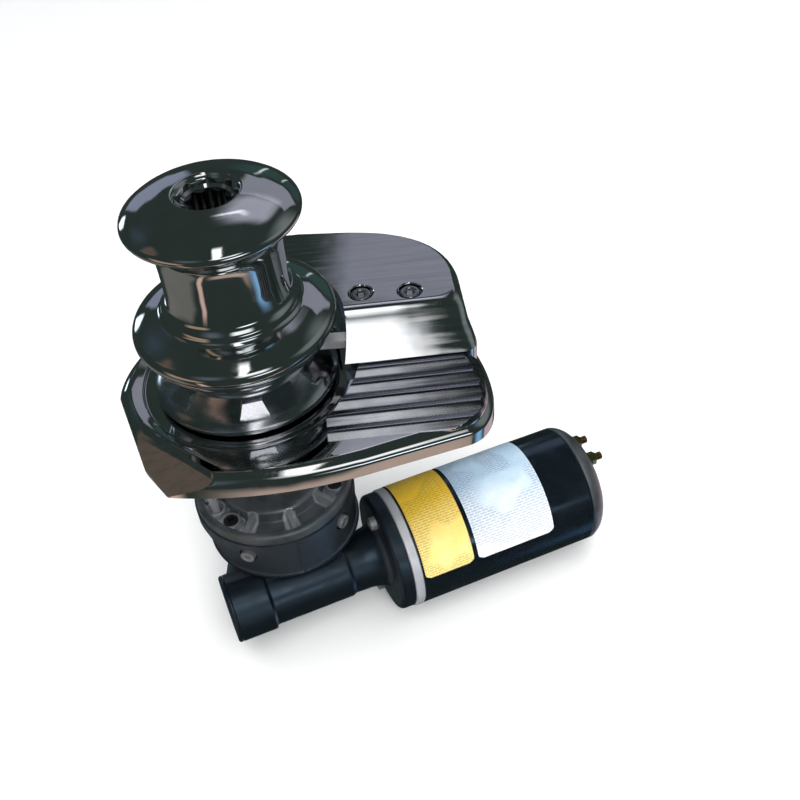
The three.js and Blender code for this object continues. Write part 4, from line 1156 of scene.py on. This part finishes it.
softbox("front_high", (167, 188), (42, 86), (1.0, 1.0, 1.0), 1.7, 0.25)
softbox("front_low", (140, 188), (32, 52), (1.0, 1.0, 1.0), 1.3, 0.3)
softbox("front_left", (190, 238), (14, 58), (0.6, 0.68, 0.85), 0.14, 0.5)
softbox("can_line", (135, 174), (4, 15), (0.82, 0.92, 1.0), 2.2, 0.4)
softbox("back_right", (-1, 44), (22, 42), (0.72, 0.72, 0.88), 0.34, 0.07)
softbox("back_line", (-12, 20), (55, 59), (0.85, 0.92, 1.0), 0.9, 0.3)
softbox("back_left", (-36, -12), (4, 24), (0.62, 0.68, 0.95), 0.36, 0.1)
softbox("arc_left", (5, 6.4), (2, 20), (0.9, 0.95, 1.0), 0.8, 0.3)
softbox("arc_right", (15, 16.6), (2, 20), (0.9, 0.95, 1.0), 0.6, 0.3)
softbox("teal", (-6, 40), (2, 21), (0.15, 0.6, 0.6), 0.05, 0.2)
softbox("navy", (-78, -40), (20, 50), (0.25, 0.42, 0.8), 0.06, 0.5)
softbox("brown", (-98, -76), (28, 50), (1.0, 0.6, 0.42), 0.09, 0.3)
softbox("window_left", (-50, -38), (3, 14), (0.72, 0.86, 1.0), 2.5, 0.25)
softbox("right", (44, 118), (6, 56), (0.78, 0.85, 0.86), 0.2, 0.35)
softbox("warm_left", (-150, -100), (-14, 10), (1.0, 0.66, 0.45), 0.4, 0.3)
softbox("below_left", (-128, -45), (-62, -20), (0.86, 0.76, 0.7), 0.16, 0.2)
softbox("below_pink", (-145, -132), (-64, -16), (1.0, 0.66, 0.56), 0.65, 0.35)
softbox("below_blue", (94, 130), (-64, -16), (0.3, 0.6, 1.0), 0.8, 0.45)
softbox("below_right", (40, 94), (-64, -15), (0.95, 0.72, 0.78), 0.6, 0.15)

# A small card close behind the cover, for the flutes alone.
spot = Vector((118, 290, 520)) * MM
facing_flutes = (spot - Vector((100, -50, 20)) * MM).to_track_quat("Z", "Y").to_matrix().to_4x4()
near = Matrix.Translation(spot) @ facing_flutes
glow_card("for_flutes", near, 0.34, 0.3, (0.8, 0.78, 0.95), 0.5, 0.3)

# A strip just above the floor, for the base's upright front edge.
strip = Matrix.Translation((0.1, -0.25, -0.19))
ground = glow_card("ground", strip, 0.5, 0.1, (1.0, 0.72, 0.6), 0.5, 0.3)
ground.visible_diffuse = False


def soft_light(name, place, size, energy):
    """A broad light that lights matt surfaces without showing in the mirrors."""
    data = bpy.data.lights.new(name, "AREA")
    data.size = size
    data.energy = energy
    light = bpy.data.objects.new(name, data)
    aim = Vector(place).to_track_quat("Z", "Y").to_matrix().to_4x4()
    light.matrix_world = Matrix.Translation(place) @ aim
    light.visible_glossy = False
    bpy.context.scene.collection.objects.link(light)


soft_light("overhead", (0.1, -0.2, 3.0), 4.0, 165)
soft_light("key", (0.5, -1.7, 1.5), 1.2, 34)

world = bpy.data.worlds.new("room")
bpy.context.scene.world = world
world.use_nodes = True
world.node_tree.nodes["Background"].inputs["Color"].default_value = (0.028, 0.04, 0.036, 1)

bpy.context.scene.view_settings.view_transform = "Standard"
